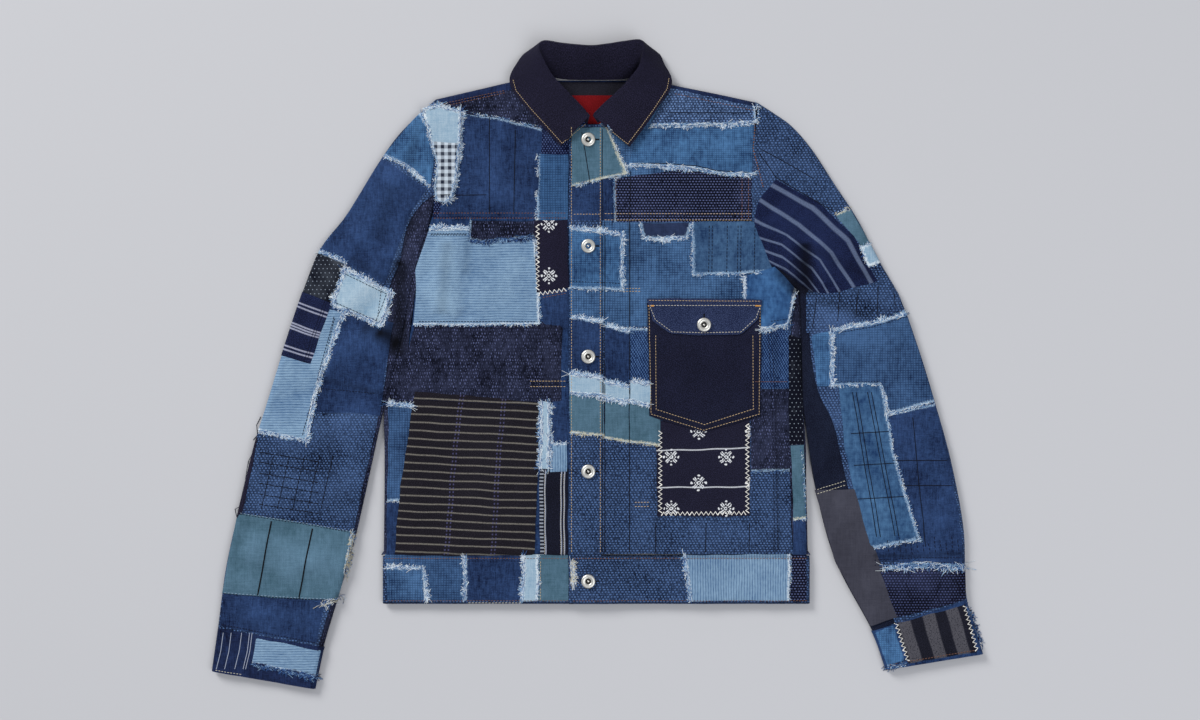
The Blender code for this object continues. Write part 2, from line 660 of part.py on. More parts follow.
def tube_place(plan, table_low, table_high, columns):
    """Lays a sleeve panel round a flattened tube between two seams given as reaches."""
    quarter = math.pi / 2 * FOLD_RADIUS

    def place(u, v):
        inner = Vector(plan(0.0, v))
        outer = Vector(plan(1.0, v))
        full_width = (outer - inner).length
        width = full_width - WALL
        half = width - 2.0 * FOLD_RADIUS + 2.0 * quarter
        low = table_low(v, half)
        high = table_high(v, half)
        flats = FLAT_COLUMNS
        turns = [-quarter, -quarter / 2, 0.0, quarter / 2]
        turns += [blend(quarter, half - quarter, k / flats) for k in range(flats + 1)]
        turns += [half - quarter / 2, half, half + quarter / 2, half + quarter]
        kept = [turn for turn in turns if columns[0] <= turns.index(turn) <= columns[1]]
        step = round(u * (len(kept) + 1))
        if step == 0:
            reach = low
        elif step == len(kept) + 1:
            reach = high
        else:
            reach = max(kept[step - 1], low + LEAST_STEP * step)
            reach = min(reach, high - LEAST_STEP * (len(kept) + 1 - step))
        side = 1.0
        if reach > half:
            reach = 2.0 * half - reach
            side = -1.0
        if reach > half / 2:
            inward, height = round_fold(half - reach)
            inward = width - inward
        else:
            inward, height = round_fold(reach)
        share = (inward + WALL / 2) / full_width
        height *= side
        x, y = plan(share, v)
        level = FOLD_CENTRE + height
        if height > 0.0:
            level += fold_height(SLEEVE_FOLDS, x, y) * height / FOLD_RADIUS
        return (x, y, level)

    return place


def open_armpit(cloth):
    """Ends the under piece short of its fold beside the armpit, where the fold runs along it."""
    turned = []
    for face in cloth.faces:
        centre = face.calc_center_median()
        if centre.y > ARMPIT_OPEN_Y and centre.z < ARMPIT_OPEN_Z:
            turned.append(face)
    bmesh.ops.delete(cloth, geom=turned, context="FACES")


def make_sleeves(surfaces):
    """Two-piece sleeves, flattened on the floor, each with its cuff."""
    sides = (
        ("right", ARMHOLE_RIGHT, SLEEVE_RIGHT, SEAM_RIGHT, CUFF_RIGHT_END, -1.0),
        ("left", ARMHOLE_LEFT, SLEEVE_LEFT, SEAM_LEFT, CUFF_LEFT_END, 1.0),
    )
    for side, armhole, sections, seam, cuff_end, way in sides:
        start = [(x + way * CURVED_SEAM_GAP, y) for x, y in reversed(armhole)]
        inner = [start[0]] + [row[2:4] for row in sections[1:]]
        outer = [start[-1]] + [row[0:2] for row in sections[1:]]
        rows = 2 * (len(sections) - 1)
        sleeve = four_sided(start, [inner[-1], outer[-1]], inner, outer, between_rows)

        def seam_on_top(v, half):
            return read_table(seam, v, 1)

        def seam_below(v, half):
            return 2.0 * half - UNDER_SEAM_REACH

        name = f"sleeve_{side}_top"
        last_turn = FLAT_COLUMNS + 8
        first_turn = 4 if side == "left" else 0
        place = tube_place(sleeve, seam_on_top, seam_below, (first_turn, last_turn))
        columns = last_turn - first_turn + 2
        surfaces[name] = lay_grid(columns, rows, place)
        add_wall(name, surfaces[name].copy(), WALL, INDIGO)

        def under_low(v, half):
            return -UNDER_SEAM_REACH + SLEEVE_SEAM_GAP

        def under_high(v, half):
            return read_table(seam, v, 1) - SLEEVE_SEAM_GAP

        name = f"sleeve_{side}_under"
        place = tube_place(sleeve, under_low, under_high, (0, 5))
        surfaces[name] = lay_grid(7, rows, place)
        open_armpit(surfaces[name])
        add_wall(name, surfaces[name].copy(), WALL, DARK_BLUE)

        gap = Vector((0.0, -SEAM_GAP))
        top_inner = Vector(inner[-1]) + gap
        top_outer = Vector(outer[-1]) + gap
        low = [tuple(top_inner), tuple(top_outer)]
        cuff = four_sided(low, cuff_end, [low[0], cuff_end[0]], [low[1], cuff_end[1]])

        def cuff_low(v, half):
            return -UNDER_SEAM_REACH

        def cuff_high(v, half):
            return 2.0 * half - UNDER_SEAM_REACH - SEAM_GAP

        name = f"cuff_{side}"
        place = tube_place(cuff, cuff_low, cuff_high, (0, last_turn))
        surfaces[name] = lay_grid(last_turn + 2, 2, place)
        add_wall(name, surfaces[name].copy(), WALL, MID_BLUE)


def make_collar():
    """Stand and fall in one piece, sewn round the neck and folded over."""
    last = len(COLLAR) - 1

    def place(u, v):
        row = COLLAR[round(u * last)]
        seam = Vector(row[0:3])
        fold = Vector(row[3:6])
        edge = Vector(row[6:9])
        tuck = row[9]
        step = round(v * (STAND_STEPS + FALL_STEPS))
        if step <= STAND_STEPS:
            share = step / STAND_STEPS
            rise = Vector((0.0, 0.0, STAND_BOW * math.sin(math.pi * share)))
            return seam.lerp(fold, share) + rise
        share = (step - STAND_STEPS) / FALL_STEPS
        lying = fold.lerp(edge, FALL_SHARE) + Vector((0.0, 0.0, FALL_BOW))
        hanging = Vector((blend(fold.x, edge.x, HANG_SHARE), fold.y + HANG_RUN, HANG_Z))
        bend = lying.lerp(hanging, tuck)
        return fold.lerp(bend, share).lerp(bend.lerp(edge, share), share)

    surface = lay_grid(last, STAND_STEPS + FALL_STEPS, place)
    add_wall("collar", surface, WALL, BLACK_NAVY)


def make_neck():
    """The facing inside the back neck and the label on it."""
    level = WALL + LAYER_GAP + FACING_WALL / 2

    def flat(u, v):
        return (blend(*NECK_AREA_X, u), blend(*NECK_AREA_Y, v), level)

    facing = trimmed(lay_grid(2, 2, flat), NECK_FACING, 0.0)
    add_wall("neck_facing", facing, FACING_WALL, CHARCOAL)
    label_level = level + FACING_WALL / 2 + LAYER_GAP + LABEL_WALL / 2

    def flat_label(u, v):
        return (blend(*NECK_AREA_X, u), blend(*NECK_AREA_Y, v), label_level)

    label = trimmed(lay_grid(2, 2, flat_label), NECK_LABEL, 0.0)
    add_wall("neck_label", label, LABEL_WALL, LABEL_RED)


def make_pocket(surfaces):
    """The chest pocket and its buttoned flap, sewn on the left front."""
    bag_lift = WALL / 2 + LAYER_GAP + POCKET_WALL / 2
    flap_lift = bag_lift + POCKET_WALL + LAYER_GAP
    bag = trimmed(moved_out(surfaces["front_panel_left"], bag_lift), POCKET, 0.0)
    add_wall("pocket", bag, POCKET_WALL, BLACK_NAVY)
    flap = trimmed(moved_out(surfaces["front_panel_left"], flap_lift), FLAP, 0.0)
    add_wall("pocket_flap", flap, POCKET_WALL, NAVY)
    return UPPER_MIDDLE + flap_lift + POCKET_WALL / 2


def make_patches(surfaces):
    """Patches cut from the surface of the piece that carries them."""
    lift = WALL / 2 + LAYER_GAP + PATCH_WALL / 2
    lowest = UPPER_MIDDLE + PATCH_LEAST_RISE
    for name, carrier, colour, outline in PATCHES:
        patch = trimmed(moved_out(surfaces[carrier], lift), outline, SEAM_GAP / 2, lowest)
        add_wall(name, patch, PATCH_WALL, colour)


def make_button(name, x, y, level):
    """A turned metal button: a raised ring round a sunk centre."""
    radius = BUTTON_RADIUS
    height = BUTTON_HEIGHT
    profile = [(0.0, 0.0), (radius * 0.9, 0.0), (radius, height * 0.4), (radius * 0.84, height),
               (radius * 0.58, height * 0.75), (radius * 0.48, height * 0.4), (0.0, height * 0.5)]
    body = bmesh.new()
    corners = [body.verts.new((reach, 0.0, rise)) for reach, rise in profile]
    edges = [body.edges.new(pair) for pair in zip(corners, corners[1:])]
    bmesh.ops.spin(
        body, geom=corners + edges, axis=(0.0, 0.0, 1.0), cent=(0.0, 0.0, 0.0), dvec=(0.0, 0.0, 0.0),
        angle=math.tau, steps=BUTTON_STEPS, use_merge=True
    )
    bmesh.ops.remove_doubles(body, verts=body.verts[:], dist=0.001)
    bmesh.ops.recalc_face_normals(body, faces=body.faces[:])
    bmesh.ops.translate(body, vec=(x, y, level), verts=body.verts[:])
    add_object(name, body, STEEL, roughness=0.35, metallic=1.0)


def make_buttons(flap_top):
    level = UPPER_MIDDLE + LAP_RISE + WALL / 2 + SEAM_GAP
    for index, y in enumerate(BUTTON_ROWS):
        make_button(f"button_{index + 1}", BUTTON_X, y, level)
    make_button("button_pocket", *POCKET_BUTTON, flap_top + SEAM_GAP)


def main():
    clear_scene()
    surfaces = {}
    make_back(surfaces)
    make_side_panels(surfaces)
    make_front_pieces(surfaces)
    make_placket(surfaces)
    make_waistband(surfaces)
    make_sleeves(surfaces)
    make_collar()
    make_neck()
    flap_top = make_pocket(surfaces)
    make_patches(surfaces)
    make_buttons(flap_top)
    for surface in surfaces.values():
        surface.free()


main()
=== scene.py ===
"""A patched work jacket laid flat on its back, in the looks of its real cloth.

Lengths are in millimetres until a mesh is made. The jacket lies on z = 0 with its collar towards
+Y, and right and left are the wearer's: the right sleeve is at -X. Every cloth is given by its
flat cut, two opposite edges seen from above, and is laid on the upper or the lower layer of the
jacket. Where a cut runs past a folded edge, it turns round the fold.
"""
import math
import random

import bmesh
import bpy
import numpy as np
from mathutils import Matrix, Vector
from mathutils.bvhtree import BVHTree


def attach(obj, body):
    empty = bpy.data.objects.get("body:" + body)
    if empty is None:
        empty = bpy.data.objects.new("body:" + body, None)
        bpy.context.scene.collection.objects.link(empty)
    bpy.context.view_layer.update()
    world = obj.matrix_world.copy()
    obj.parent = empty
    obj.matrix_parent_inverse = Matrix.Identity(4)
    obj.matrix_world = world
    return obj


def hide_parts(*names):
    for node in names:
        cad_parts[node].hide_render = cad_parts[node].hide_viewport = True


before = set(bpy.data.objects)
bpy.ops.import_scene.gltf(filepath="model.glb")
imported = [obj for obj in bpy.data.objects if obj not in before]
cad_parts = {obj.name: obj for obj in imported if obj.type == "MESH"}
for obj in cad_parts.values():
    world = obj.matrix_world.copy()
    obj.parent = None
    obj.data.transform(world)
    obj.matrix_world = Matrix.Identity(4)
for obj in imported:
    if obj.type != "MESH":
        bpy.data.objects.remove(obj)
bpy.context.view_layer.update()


# ---- Back panel and back yoke ----
# Two pieces of worn indigo denim, joined by a straight seam across the back and lying face down.
# The yoke turns forward over the shoulders, where it is felled to the front yokes with brown thread.

MM = 0.001
FOLD_RADIUS = 4.3
FOLD_CENTRE = 4.3
BRINK = FOLD_RADIUS * (1.0 - math.pi / 2)
BAND_Y = -228.0
HEM_Y = -285.4
YOKE_Y = 176.0
BACK_YOKE_Y = 180.0
BACK_REACH = 40.0
DENIM_WALL = 1.2

# Side folds of the body: y, x of the fold, reach of the side panel on the front.
SIDE_RIGHT = [
    (-290, -257, 23), (-232, -257, 23), (-226, -256, 23), (-190, -255.5, 25), (-145, -255, 25),
    (-100, -255, 26), (-46, -255, 26), (-6, -244, 16), (42, -232.5, 9), (78, -226.5, 8), (114, -220, 7),
]
SIDE_TOP_RIGHT = [(138, -212, 6), (160, -206, 5)]
SIDE_SHOULDER_RIGHT = [(200, -208, 5), (330, -226, 5)]
SIDE_LEFT = [
    (-290, 254, 18), (-232, 254, 18), (-226, 252, 18), (-186, 251, 20), (-140, 250, 20),
    (-96, 249.5, 22), (-42, 245.5, 21), (0, 244, 18), (32, 243.5, 13), (60, 243, 10), (92, 241, 8),
]
SHOULDER_RIGHT = [(-193, 318), (-150, 328), (-107, 338), (-80, 343.5), (-67, 344)]
SHOULDER_LEFT = [(54, 343), (66, 341), (88, 335.5), (140, 325), (191, 314)]

# Painted shade under the arms, in deep folds and along edges: start x, y, end x, y, reach, strength.
PAINTED_SHADE_HOLLOWS = [
    (-236, 124, -238, 12, 8, 0.85), (-264, 38, -240, 22, 8, 0.6), (-220, 178, -238, 120, 5, 0.5),
    (248, 146, 253, 84, 6, 0.85), (214, 114, 238, 84, 7, 0.6), (238, 76, 243, -40, 6, 0.3),
    (-325, -17, -242, -38, 3, 0.35), (330, -228, 438, -226, 2, 0.6), (-305, -274, -331, -340, 6, 0.6),
    (-180, 148, -186, 62, 6, 0.3), (-154, 154, -158, 108, 4, 0.2), (258, 138, 330, 104, 5, 0.3),
    (-330, -70, -300, -190, 9, 0.12), (262, 78, 330, 56, 4, 0.3), (-246, 214, -262, 150, 7, 0.25),
    (-296, 128, -250, 100, 5, 0.3), (-212, 290, -226, 240, 6, 0.25), (38, 170, 40, 60, 3, 0.2),
    (72, -70, 72, -224, 2, 0.3), (213, 40, 216, -224, 3, 0.35), (-230, -226, 240, -229, 2, 0.4),
    (-257, -286, 254, -286, 2, 0.7), (-246, 40, -282, 46, 9, 0.7), (240, 126, 238, 84, 7, 0.5),
]

# Soft folds of the body: start x, y, end x, y, reach to each side, height.
BODY_FOLDS = [
    (-177, 150, -184, 62, 12, 2.6), (-150, 160, -156, 56, 9, -1.4), (-165, 206, -95, 200, 8, 1.8),
    (-208, 96, -165, 62, 12, 2.4), (226, 76, 186, 34, 12, 2.4), (205, -60, 212, -200, 12, 1.2),
    (-150, -60, -142, -210, 14, 1.0), (92, -196, 190, -204, 11, 1.2), (-196, 236, -150, 190, 10, -0.9),
    (-110, 300, -128, 190, 9, 1.8), (64, 262, 168, 256, 9, 1.5), (-100, 40, -112, -30, 12, 0.9),
    (-205, -60, -198, -215, 9, -0.8), (96, 150, 104, 90, 10, 0.8), (-214, 130, -150, 118, 9, 0.9),
    (-190, 42, -176, -30, 8, 0.8), (-60, 150, -52, 60, 7, 0.7), (60, 165, 66, 96, 7, 0.9),
    (140, 100, 196, 132, 9, 1.0), (186, 20, 224, -20, 8, 1.0), (50, -100, 58, -215, 8, 0.8),
    (120, -186, 128, -224, 7, 0.8), (-120, -60, -128, -200, 10, 0.7), (30, 250, 28, 190, 7, 0.7),
    (150, 220, 180, 190, 8, 0.8), (-90, 130, -150, 70, 12, 0.8),
]
LAP_RISE = 1.6
PLACKET_RIGHT_X = -34.0
PLACKET_LEFT_X = 5.0
LAP_FADE_X = 45.0
LAP_MARGIN = 0.4
LINE_STEPS = 8


def smooth_line(points, steps=LINE_STEPS):
    """A line without corners through points, as closely spaced points."""
    spots = np.array(points, float)
    spots = np.vstack([2 * spots[0] - spots[1], spots, 2 * spots[-1] - spots[-2]])
    t = np.linspace(0.0, 1.0, steps, endpoint=False)[:, None]
    parts = []
    for a, b, c, d in zip(spots, spots[1:], spots[2:], spots[3:]):
        bend = 2 * a - 5 * b + 4 * c - d
        twist = 3 * b - a - 3 * c + d
        parts.append(0.5 * (2 * b + (c - a) * t + bend * t ** 2 + twist * t ** 3))
    return np.vstack(parts + [spots[-2:-1]])


def fold_line(points, inside):
    """A folded edge: its points and the directions square to it that lead into the cloth."""
    line = smooth_line(points)
    run = np.gradient(line, axis=0)
    inward = np.column_stack([-run[:, 1], run[:, 0]])
    inward /= np.linalg.norm(inward, axis=1)[:, None]
    if ((np.array(inside) - line.mean(0)) * inward[len(line) // 2]).sum() < 0.0:
        inward = -inward
    return line, inward


def smooth_step(value):
    value = np.clip(value, 0.0, 1.0)
    return value * value * (3.0 - 2.0 * value)


def creased(folds, x, y):
    """How far soft folds lift the cloth."""
    height = np.zeros(len(x))
    for start_x, start_y, end_x, end_y, reach, rise in folds:
        run_x = end_x - start_x
        run_y = end_y - start_y
        length = math.hypot(run_x, run_y)
        travel = ((x - start_x) * run_x + (y - start_y) * run_y) / length
        beside = np.abs((x - start_x) * run_y - (y - start_y) * run_x) / length
        end_fade = smooth_step(np.minimum(travel, length - travel) / reach + 0.5)
        height += rise * end_fade * smooth_step(1.0 - beside / (2.0 * reach))
    return height


def uneven(x, y):
    """The slight rise and fall of cloth that has been washed and worn."""
    wide = np.sin(x / 23 + 1.3 * np.sin(y / 41)) * np.sin(y / 29 + 0.7 + np.sin(x / 57))
    narrow = np.sin(x / 8.3 + 2.0 * np.sin(y / 19)) * np.sin(y / 10.1 + 1.7 * np.sin(x / 27))
    ripple = np.sin(x / 3.9 + 1.4 * np.sin(y / 8.7)) * np.sin(y / 4.3 + 1.2 * np.sin(x / 9.9))
    return 0.6 * wide + 0.42 * narrow + 0.16 * ripple


def front_relief(x, y):
    """The fronts' soft folds, and the lap of the left front over the right one."""
    fade = smooth_step((LAP_FADE_X - x) / (LAP_FADE_X - PLACKET_LEFT_X))
    lap = np.where(x < PLACKET_RIGHT_X - LAP_MARGIN, 0.0, LAP_RISE * fade)
    return lap + creased(BODY_FOLDS, x, y) + uneven(x, y)


def lower_front_relief(x, y):
    return creased(BODY_FOLDS, x, y) + np.minimum(uneven(x, y), 0.0)


def no_relief(x, y):
    return np.zeros(len(x))


SIDES = [
    fold_line([(x, y) for y, x, reach in SIDE_RIGHT + SIDE_TOP_RIGHT + SIDE_SHOULDER_RIGHT], (0, 0)),
    fold_line([(x, y) for y, x, reach in SIDE_LEFT], (0, 0)),
]
SHOULDERS = [fold_line(SHOULDER_RIGHT, (0, 0)), fold_line(SHOULDER_LEFT, (0, 0))]

# Layers that a cloth can lie on: 1 above or -1 below, its folded edges, its relief.
LAYERS = {
    "front": (1.0, SIDES, front_relief),
    "front_below_lap": (1.0, SIDES, lower_front_relief),
    "back": (-1.0, SIDES, no_relief),
    "shoulder": (1.0, SHOULDERS, no_relief),
    "back_shoulder": (-1.0, SHOULDERS, no_relief),
}


def laid(layer, plan, lift):
    """Places of points of a flat cut on a layer. Lift is their height over the layer's outer face."""
    side, folds, relief = LAYERS[layer]
    x, y = plan.T
    rise = relief(x, y)
    level = side * (FOLD_RADIUS + lift + rise)
    place = np.column_stack([x, y, FOLD_CENTRE + level])
    for line, inward in folds:
        near = np.argmin(((plan[:, None, :] - line[None]) ** 2).sum(2), axis=1)
        lead = inward[near]
        depth = ((plan - line[near]) * lead).sum(1)
        over = FOLD_RADIUS - depth
        angle = np.clip(over / FOLD_RADIUS, 0.0, math.pi)
        past = np.maximum(over - math.pi * FOLD_RADIUS, 0.0)
        reach = FOLD_RADIUS + lift
        inset = FOLD_RADIUS - reach * np.sin(angle) + past
        foot = plan - lead * depth[:, None]
        turned = foot + lead * inset[:, None]
        height = (reach + rise * np.maximum(np.cos(angle), 0.0)) * np.cos(angle)
        wraps = over > 0.0
        place[wraps, :2] = turned[wraps]
        place[wraps, 2] = FOLD_CENTRE + side * height[wraps]
    place[:, 2] = np.maximum(place[:, 2], 0.0)
    return place


def waver(plan):
    """Hand-cut edges and shifted cloth: a small sideways drift, the same for neighbours."""
    x, y = plan.T
    drift_x = 0.30 * np.sin(y / 7.1 + 0.8 * np.sin(x / 13)) + 0.5 * np.sin(y / 27 + x / 33)
    drift_y = 0.30 * np.sin(x / 6.7 + 0.9 * np.sin(y / 11)) + 0.5 * np.sin(x / 25 - y / 39)
    return plan + np.column_stack([drift_x, drift_y])


def reader(points, matched):
    """Reads an edge by its share: of its length, or of its rows when edges are matched."""
    spots = np.array(points, float)
    gaps = np.linalg.norm(np.diff(spots, axis=0), axis=1)
    if matched:
        gaps = np.ones(len(gaps))
    share = np.concatenate([[0.0], np.cumsum(gaps)]) / gaps.sum()
    return lambda at: np.column_stack([np.interp(at, share, spots[:, k]) for k in (0, 1)])


def edge_length(points):
    return float(np.linalg.norm(np.diff(np.array(points, float), axis=0), axis=1).sum())


UNFRAYED = 99.0
DROOP_REACH = 3.5
SPAN_SAMPLES = 60
JOIN_GAP = 0.02
CRISP_ANGLE = 50
cloths = []


def new_object(name, data):
    thing = bpy.data.objects.new(name, data)
    bpy.context.scene.collection.objects.link(thing)
    return thing


def lay_cloth(name, parts, finish, lift=0.0, wall=DENIM_WALL, cell=4.0, matched=False,
              drift=True, droop=0.0, bow=None, frays="", stands_for=()):
    """Makes one piece of cloth from parts of its flat cut: layer, first edge, second edge, how
    far apart its rows are, and which of the two edges are its own and not a fold line. Frays
    names the edges left raw: f and s for the first and second, a and b for the two ends."""
    columns = max(3, math.ceil(max(edge_length(part[1]) for part in parts) / cell))
    cloth = bmesh.new()
    facts = []
    area = width = longest = 0.0
    for layer, low, high, row_cell, own_edges in parts:
        read_low = reader(low, matched)
        read_high = reader(high, matched)
        samples = np.linspace(0.0, 1.0, SPAN_SAMPLES)
        widest = float(np.linalg.norm(read_high(samples) - read_low(samples), axis=1).max())
        rows = max(2, math.ceil(widest / row_cell))
        made = bmesh.ops.create_grid(cloth, x_segments=columns, y_segments=rows, size=0.5)
        share = np.array([corner.co[:2] for corner in made["verts"]]) + 0.5
        u, v = share.T
        first = read_low(u)
        second = read_high(u)
        plan = first * (1.0 - v[:, None]) + second * v[:, None]
        if bow:
            plan = bow(plan, u)
        if drift:
            plan = waver(plan)
        span = np.linalg.norm(second - first, axis=1)
        length = (edge_length(low) + edge_length(high)) / 2.0
        away = {"a": u * length, "b": (1.0 - u) * length, "f": v * span, "s": (1.0 - v) * span}
        own = "ab" + {"first": "f", "second": "s", "both": "fs", "none": ""}[own_edges]
        margin = np.min([away[key] for key in own], axis=0)
        height = lift - droop * (1.0 - smooth_step(margin / DROOP_REACH))
        raw = np.min([away[key] for key in frays] + [np.full(len(u), UNFRAYED)], axis=0)
        for corner, place in zip(made["verts"], laid(layer, plan, height)):
            corner.co = place * MM
        side, _, relief = LAYERS[layer]
        fold = (lower_front_relief if layer.startswith("front") else relief)(*plan.T)
        # Painted shade: how deep each corner lies in a shaded hollow, on the upper layers only.
        hollow_shade = creased(PAINTED_SHADE_HOLLOWS, *plan.T) * (side > 0.0)
        facts.append(np.column_stack([plan * MM, share, raw, fold, hollow_shade]))
        x, y = np.vstack([read_low(samples), read_high(samples)[::-1]]).T
        turned_area = float((x * np.roll(y, -1) - y * np.roll(x, -1)).sum()) / 2.0
        if turned_area * side < 0.0:
            faces = list({face for corner in made["verts"] for face in corner.link_faces})
            bmesh.ops.reverse_faces(cloth, faces=faces)
        area += abs(turned_area)
        width += widest
        longest = max(longest, edge_length(low), edge_length(high))
    piece = give_wall(cloth, name, np.vstack(facts), finish, wall, -1.0)
    state_sheet(piece, width, longest, area, stands_for)


def give_wall(cloth, name, facts, finish, wall, offset):
    """Makes a laid grid into a piece with a wall. Facts has a row for each corner: its place on the
    cut, its shares, and its distance from a raw edge, its fold's height and its painted hollow shade."""
    mark = cloth.verts.layers.int.new("fact")
    for number, corner in enumerate(cloth.verts):
        corner[mark] = number
    bmesh.ops.remove_doubles(cloth, verts=cloth.verts[:], dist=JOIN_GAP * MM)
    mesh = bpy.data.meshes.new(name)
    cloth.to_mesh(mesh)
    cloth.free()
    numbers = np.zeros(len(mesh.vertices), np.int32)
    mesh.attributes["fact"].data.foreach_get("value", numbers)
    mesh.attributes.remove(mesh.attributes["fact"])
    facts = facts[numbers].astype(np.float32)
    corners = np.zeros(len(mesh.loops), np.int32)
    mesh.loops.foreach_get("vertex_index", corners)
    for column, label in ((0, "Cloth"), (2, "Patch")):
        layer = mesh.uv_layers.new(name=label)
        layer.data.foreach_set("uv", facts[corners, column:column + 2].ravel())
    for column, label in ((4, "margin"), (5, "fold"), (6, "hollow_shade")):
        mesh.attributes.new(label, "FLOAT", "POINT").data.foreach_set("value", facts[:, column])
    mesh.shade_smooth()
    mesh.materials.append(finish)
    piece = new_object(name, mesh)
    solid = piece.modifiers.new("wall", "SOLIDIFY")
    solid.thickness = wall * MM
    solid.offset = offset
    bpy.context.view_layer.update()
    graph = bpy.context.evaluated_depsgraph_get()
    walled = bpy.data.meshes.new_from_object(piece.evaluated_get(graph))
    walled.set_sharp_from_angle(angle=math.radians(CRISP_ANGLE))
    piece.modifiers.clear()
    piece.data = walled
    return piece


def state_sheet(piece, width, length, area, stands_for):
    """Keeps a cloth among the laid cloths, attaches it to the body and hides the solids that it stands for.
    Its cut's width, length and area are worked out but not used.
    """
    cloths.append(piece)
    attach(piece, "root")
    if stands_for:
        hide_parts(*stands_for)
    width *= MM
    length *= MM
    area = min(area * MM * MM, width * length)


def tint(code):
    """A colour written as six hex digits, in linear light."""
    values = [int(code[k:k + 2], 16) / 255.0 for k in (0, 2, 4)]
    return tuple(v / 12.92 if v <= 0.04045 else ((v + 0.055) / 1.055) ** 2.4 for v in values) + (1.0,)


class Value:
    """A number or a colour that a finish works out. Sums and products of values are values."""

    def __init__(self, finish, socket):
        self.finish = finish
        self.socket = socket

    def __add__(self, other):
        return self.finish.calc("ADD", self, other)

    def __sub__(self, other):
        return self.finish.calc("SUBTRACT", self, other)

    def __rsub__(self, other):
        return self.finish.calc("SUBTRACT", other, self)

    def __mul__(self, other):
        return self.finish.calc("MULTIPLY", self, other)

    def __truediv__(self, other):
        return self.finish.calc("DIVIDE", self, other)


def plain_finish(name, shine=0.5, roughness=0.5, colour=None, metallic=0.0):
    """A material of one colour, and its shader."""
    material = bpy.data.materials.new(name)
    material.use_nodes = True
    shader = material.node_tree.nodes["Principled BSDF"]
    shader.inputs["Roughness"].default_value = roughness
    shader.inputs["Specular IOR Level"].default_value = shine
    shader.inputs["Metallic"].default_value = metallic
    if colour:
        shader.inputs["Base Color"].default_value = colour
    return material, shader


CLOTH_SHINE = 0.1
CLOTH_ROUGHNESS = 0.95
CLOTH_SHEEN = 0.02


class Finish:
    """A cloth's material while its nodes are laid. Coordinates are in millimetres on the cut."""

    def __init__(self, name, turn=0.0):
        self.material, self.shader = plain_finish(name, CLOTH_SHINE, CLOTH_ROUGHNESS)
        self.shader.inputs["Sheen Weight"].default_value = CLOTH_SHEEN
        self.tree = self.material.node_tree
        placing = {"Vector": self.node("UVMap", uv_map="Cloth"), "Scale": (1 / MM, 1 / MM, 1.0),
                   "Rotation": (0.0, 0.0, math.radians(turn))}
        self.cut = self.node("Mapping", placing)
        self.x, self.y = self.split(self.cut)
        self.across, self.along = self.split(self.node("UVMap", uv_map="Patch"))
        self.margin, self.fold, self.hollow_shade = (
            self.node("Attribute", out="Fac", attribute_name=label) for label in ("margin", "fold", "hollow_shade")
        )

    def node(self, kind, inputs=None, out=0, **settings):
        """Lays a node with its settings and inputs, and gives the value that comes out."""
        node = self.tree.nodes.new(f"ShaderNode{kind}")
        for key, value in settings.items():
            setattr(node, key, value)
        for key, value in (inputs or {}).items():
            if isinstance(value, Value):
                self.tree.links.new(value.socket, node.inputs[key])
            else:
                node.inputs[key].default_value = value
        return Value(self, node.outputs[out])

    def split(self, vector):
        x = self.node("SeparateXYZ", {0: vector})
        return x, Value(self, x.socket.node.outputs[1])

    def calc(self, operation, *values):
        return self.node("Math", dict(enumerate(values)), operation=operation)

    def step(self, value, start, end):
        bounds = {"Value": value, "From Min": start, "From Max": end}
        return self.node("MapRange", bounds, interpolation_type="SMOOTHSTEP")

    def noise(self, wide, tall, detail=2.0, seed=0.0):
        """Noise whose grains are about so wide and so tall."""
        placing = {"Vector": self.cut, "Scale": (1.0 / wide, 1.0 / tall, 1.0),
                   "Location": (seed * 13.7, seed * 7.9, 0.0)}
        grains = {"Vector": self.node("Mapping", placing), "Scale": 1.0, "Detail": detail}
        return self.node("TexNoise", grains, noise_dimensions="2D")

    def distance(self, across, up):
        return self.calc("SQRT", across * across + up * up)

    def largest(self, first, second):
        return self.calc("MAXIMUM", first, second)

    def lines(self, place, pitch, half, soft=0.25):
        """1 on lines that repeat at a pitch, 0 between them."""
        away = self.calc("PINGPONG", place, pitch / 2.0)
        return self.step(away, half + soft, max(half - soft, 0.0))

    def band(self, place, centre, half, soft):
        return self.step(self.calc("ABSOLUTE", place - centre), half + soft, max(half - soft, 0.0))

    def mix(self, share, first, second):
        return self.node("Mix", {0: share, 6: first, 7: second}, 2, data_type="RGBA")

    def done(self, colour, height, depth):
        """Links the colour, and the yarn's height as a bump of a depth in millimetres."""
        bump = self.node("Bump", {"Strength": 1.0, "Distance": depth * MM, "Height": height})
        self.tree.links.new(colour.socket, self.shader.inputs["Base Color"])
        self.tree.links.new(bump.socket, self.shader.inputs["Normal"])
        return self.material


def streaks(f):
    """Plain denim: uneven warp yarns with a little of the pale weft."""
    warp = f.noise(1.5, 14.0, 2.0, 1.0) * 0.5
    weft = f.noise(9.0, 1.5, 1.0, 2.0) * 0.3
    fleck = f.noise(1.3, 1.6, 1.0, 3.0) * 0.4
    return f.step(warp + weft + fleck, 0.1, 1.2)


# The near-black colour of the painted shade in hollows, and how much of it is mixed in.
HOLLOW_SHADE_COLOUR = "05060e"
HOLLOW_SHADE_SHARE = 0.85
# How much a fold's height pales the cloth: ridges paler and troughs darker, partly as wear on raised folds
# and partly as painted shade.
FOLD_WEAR_AND_SHADE = 0.07
RAGGED_BY = -5.0


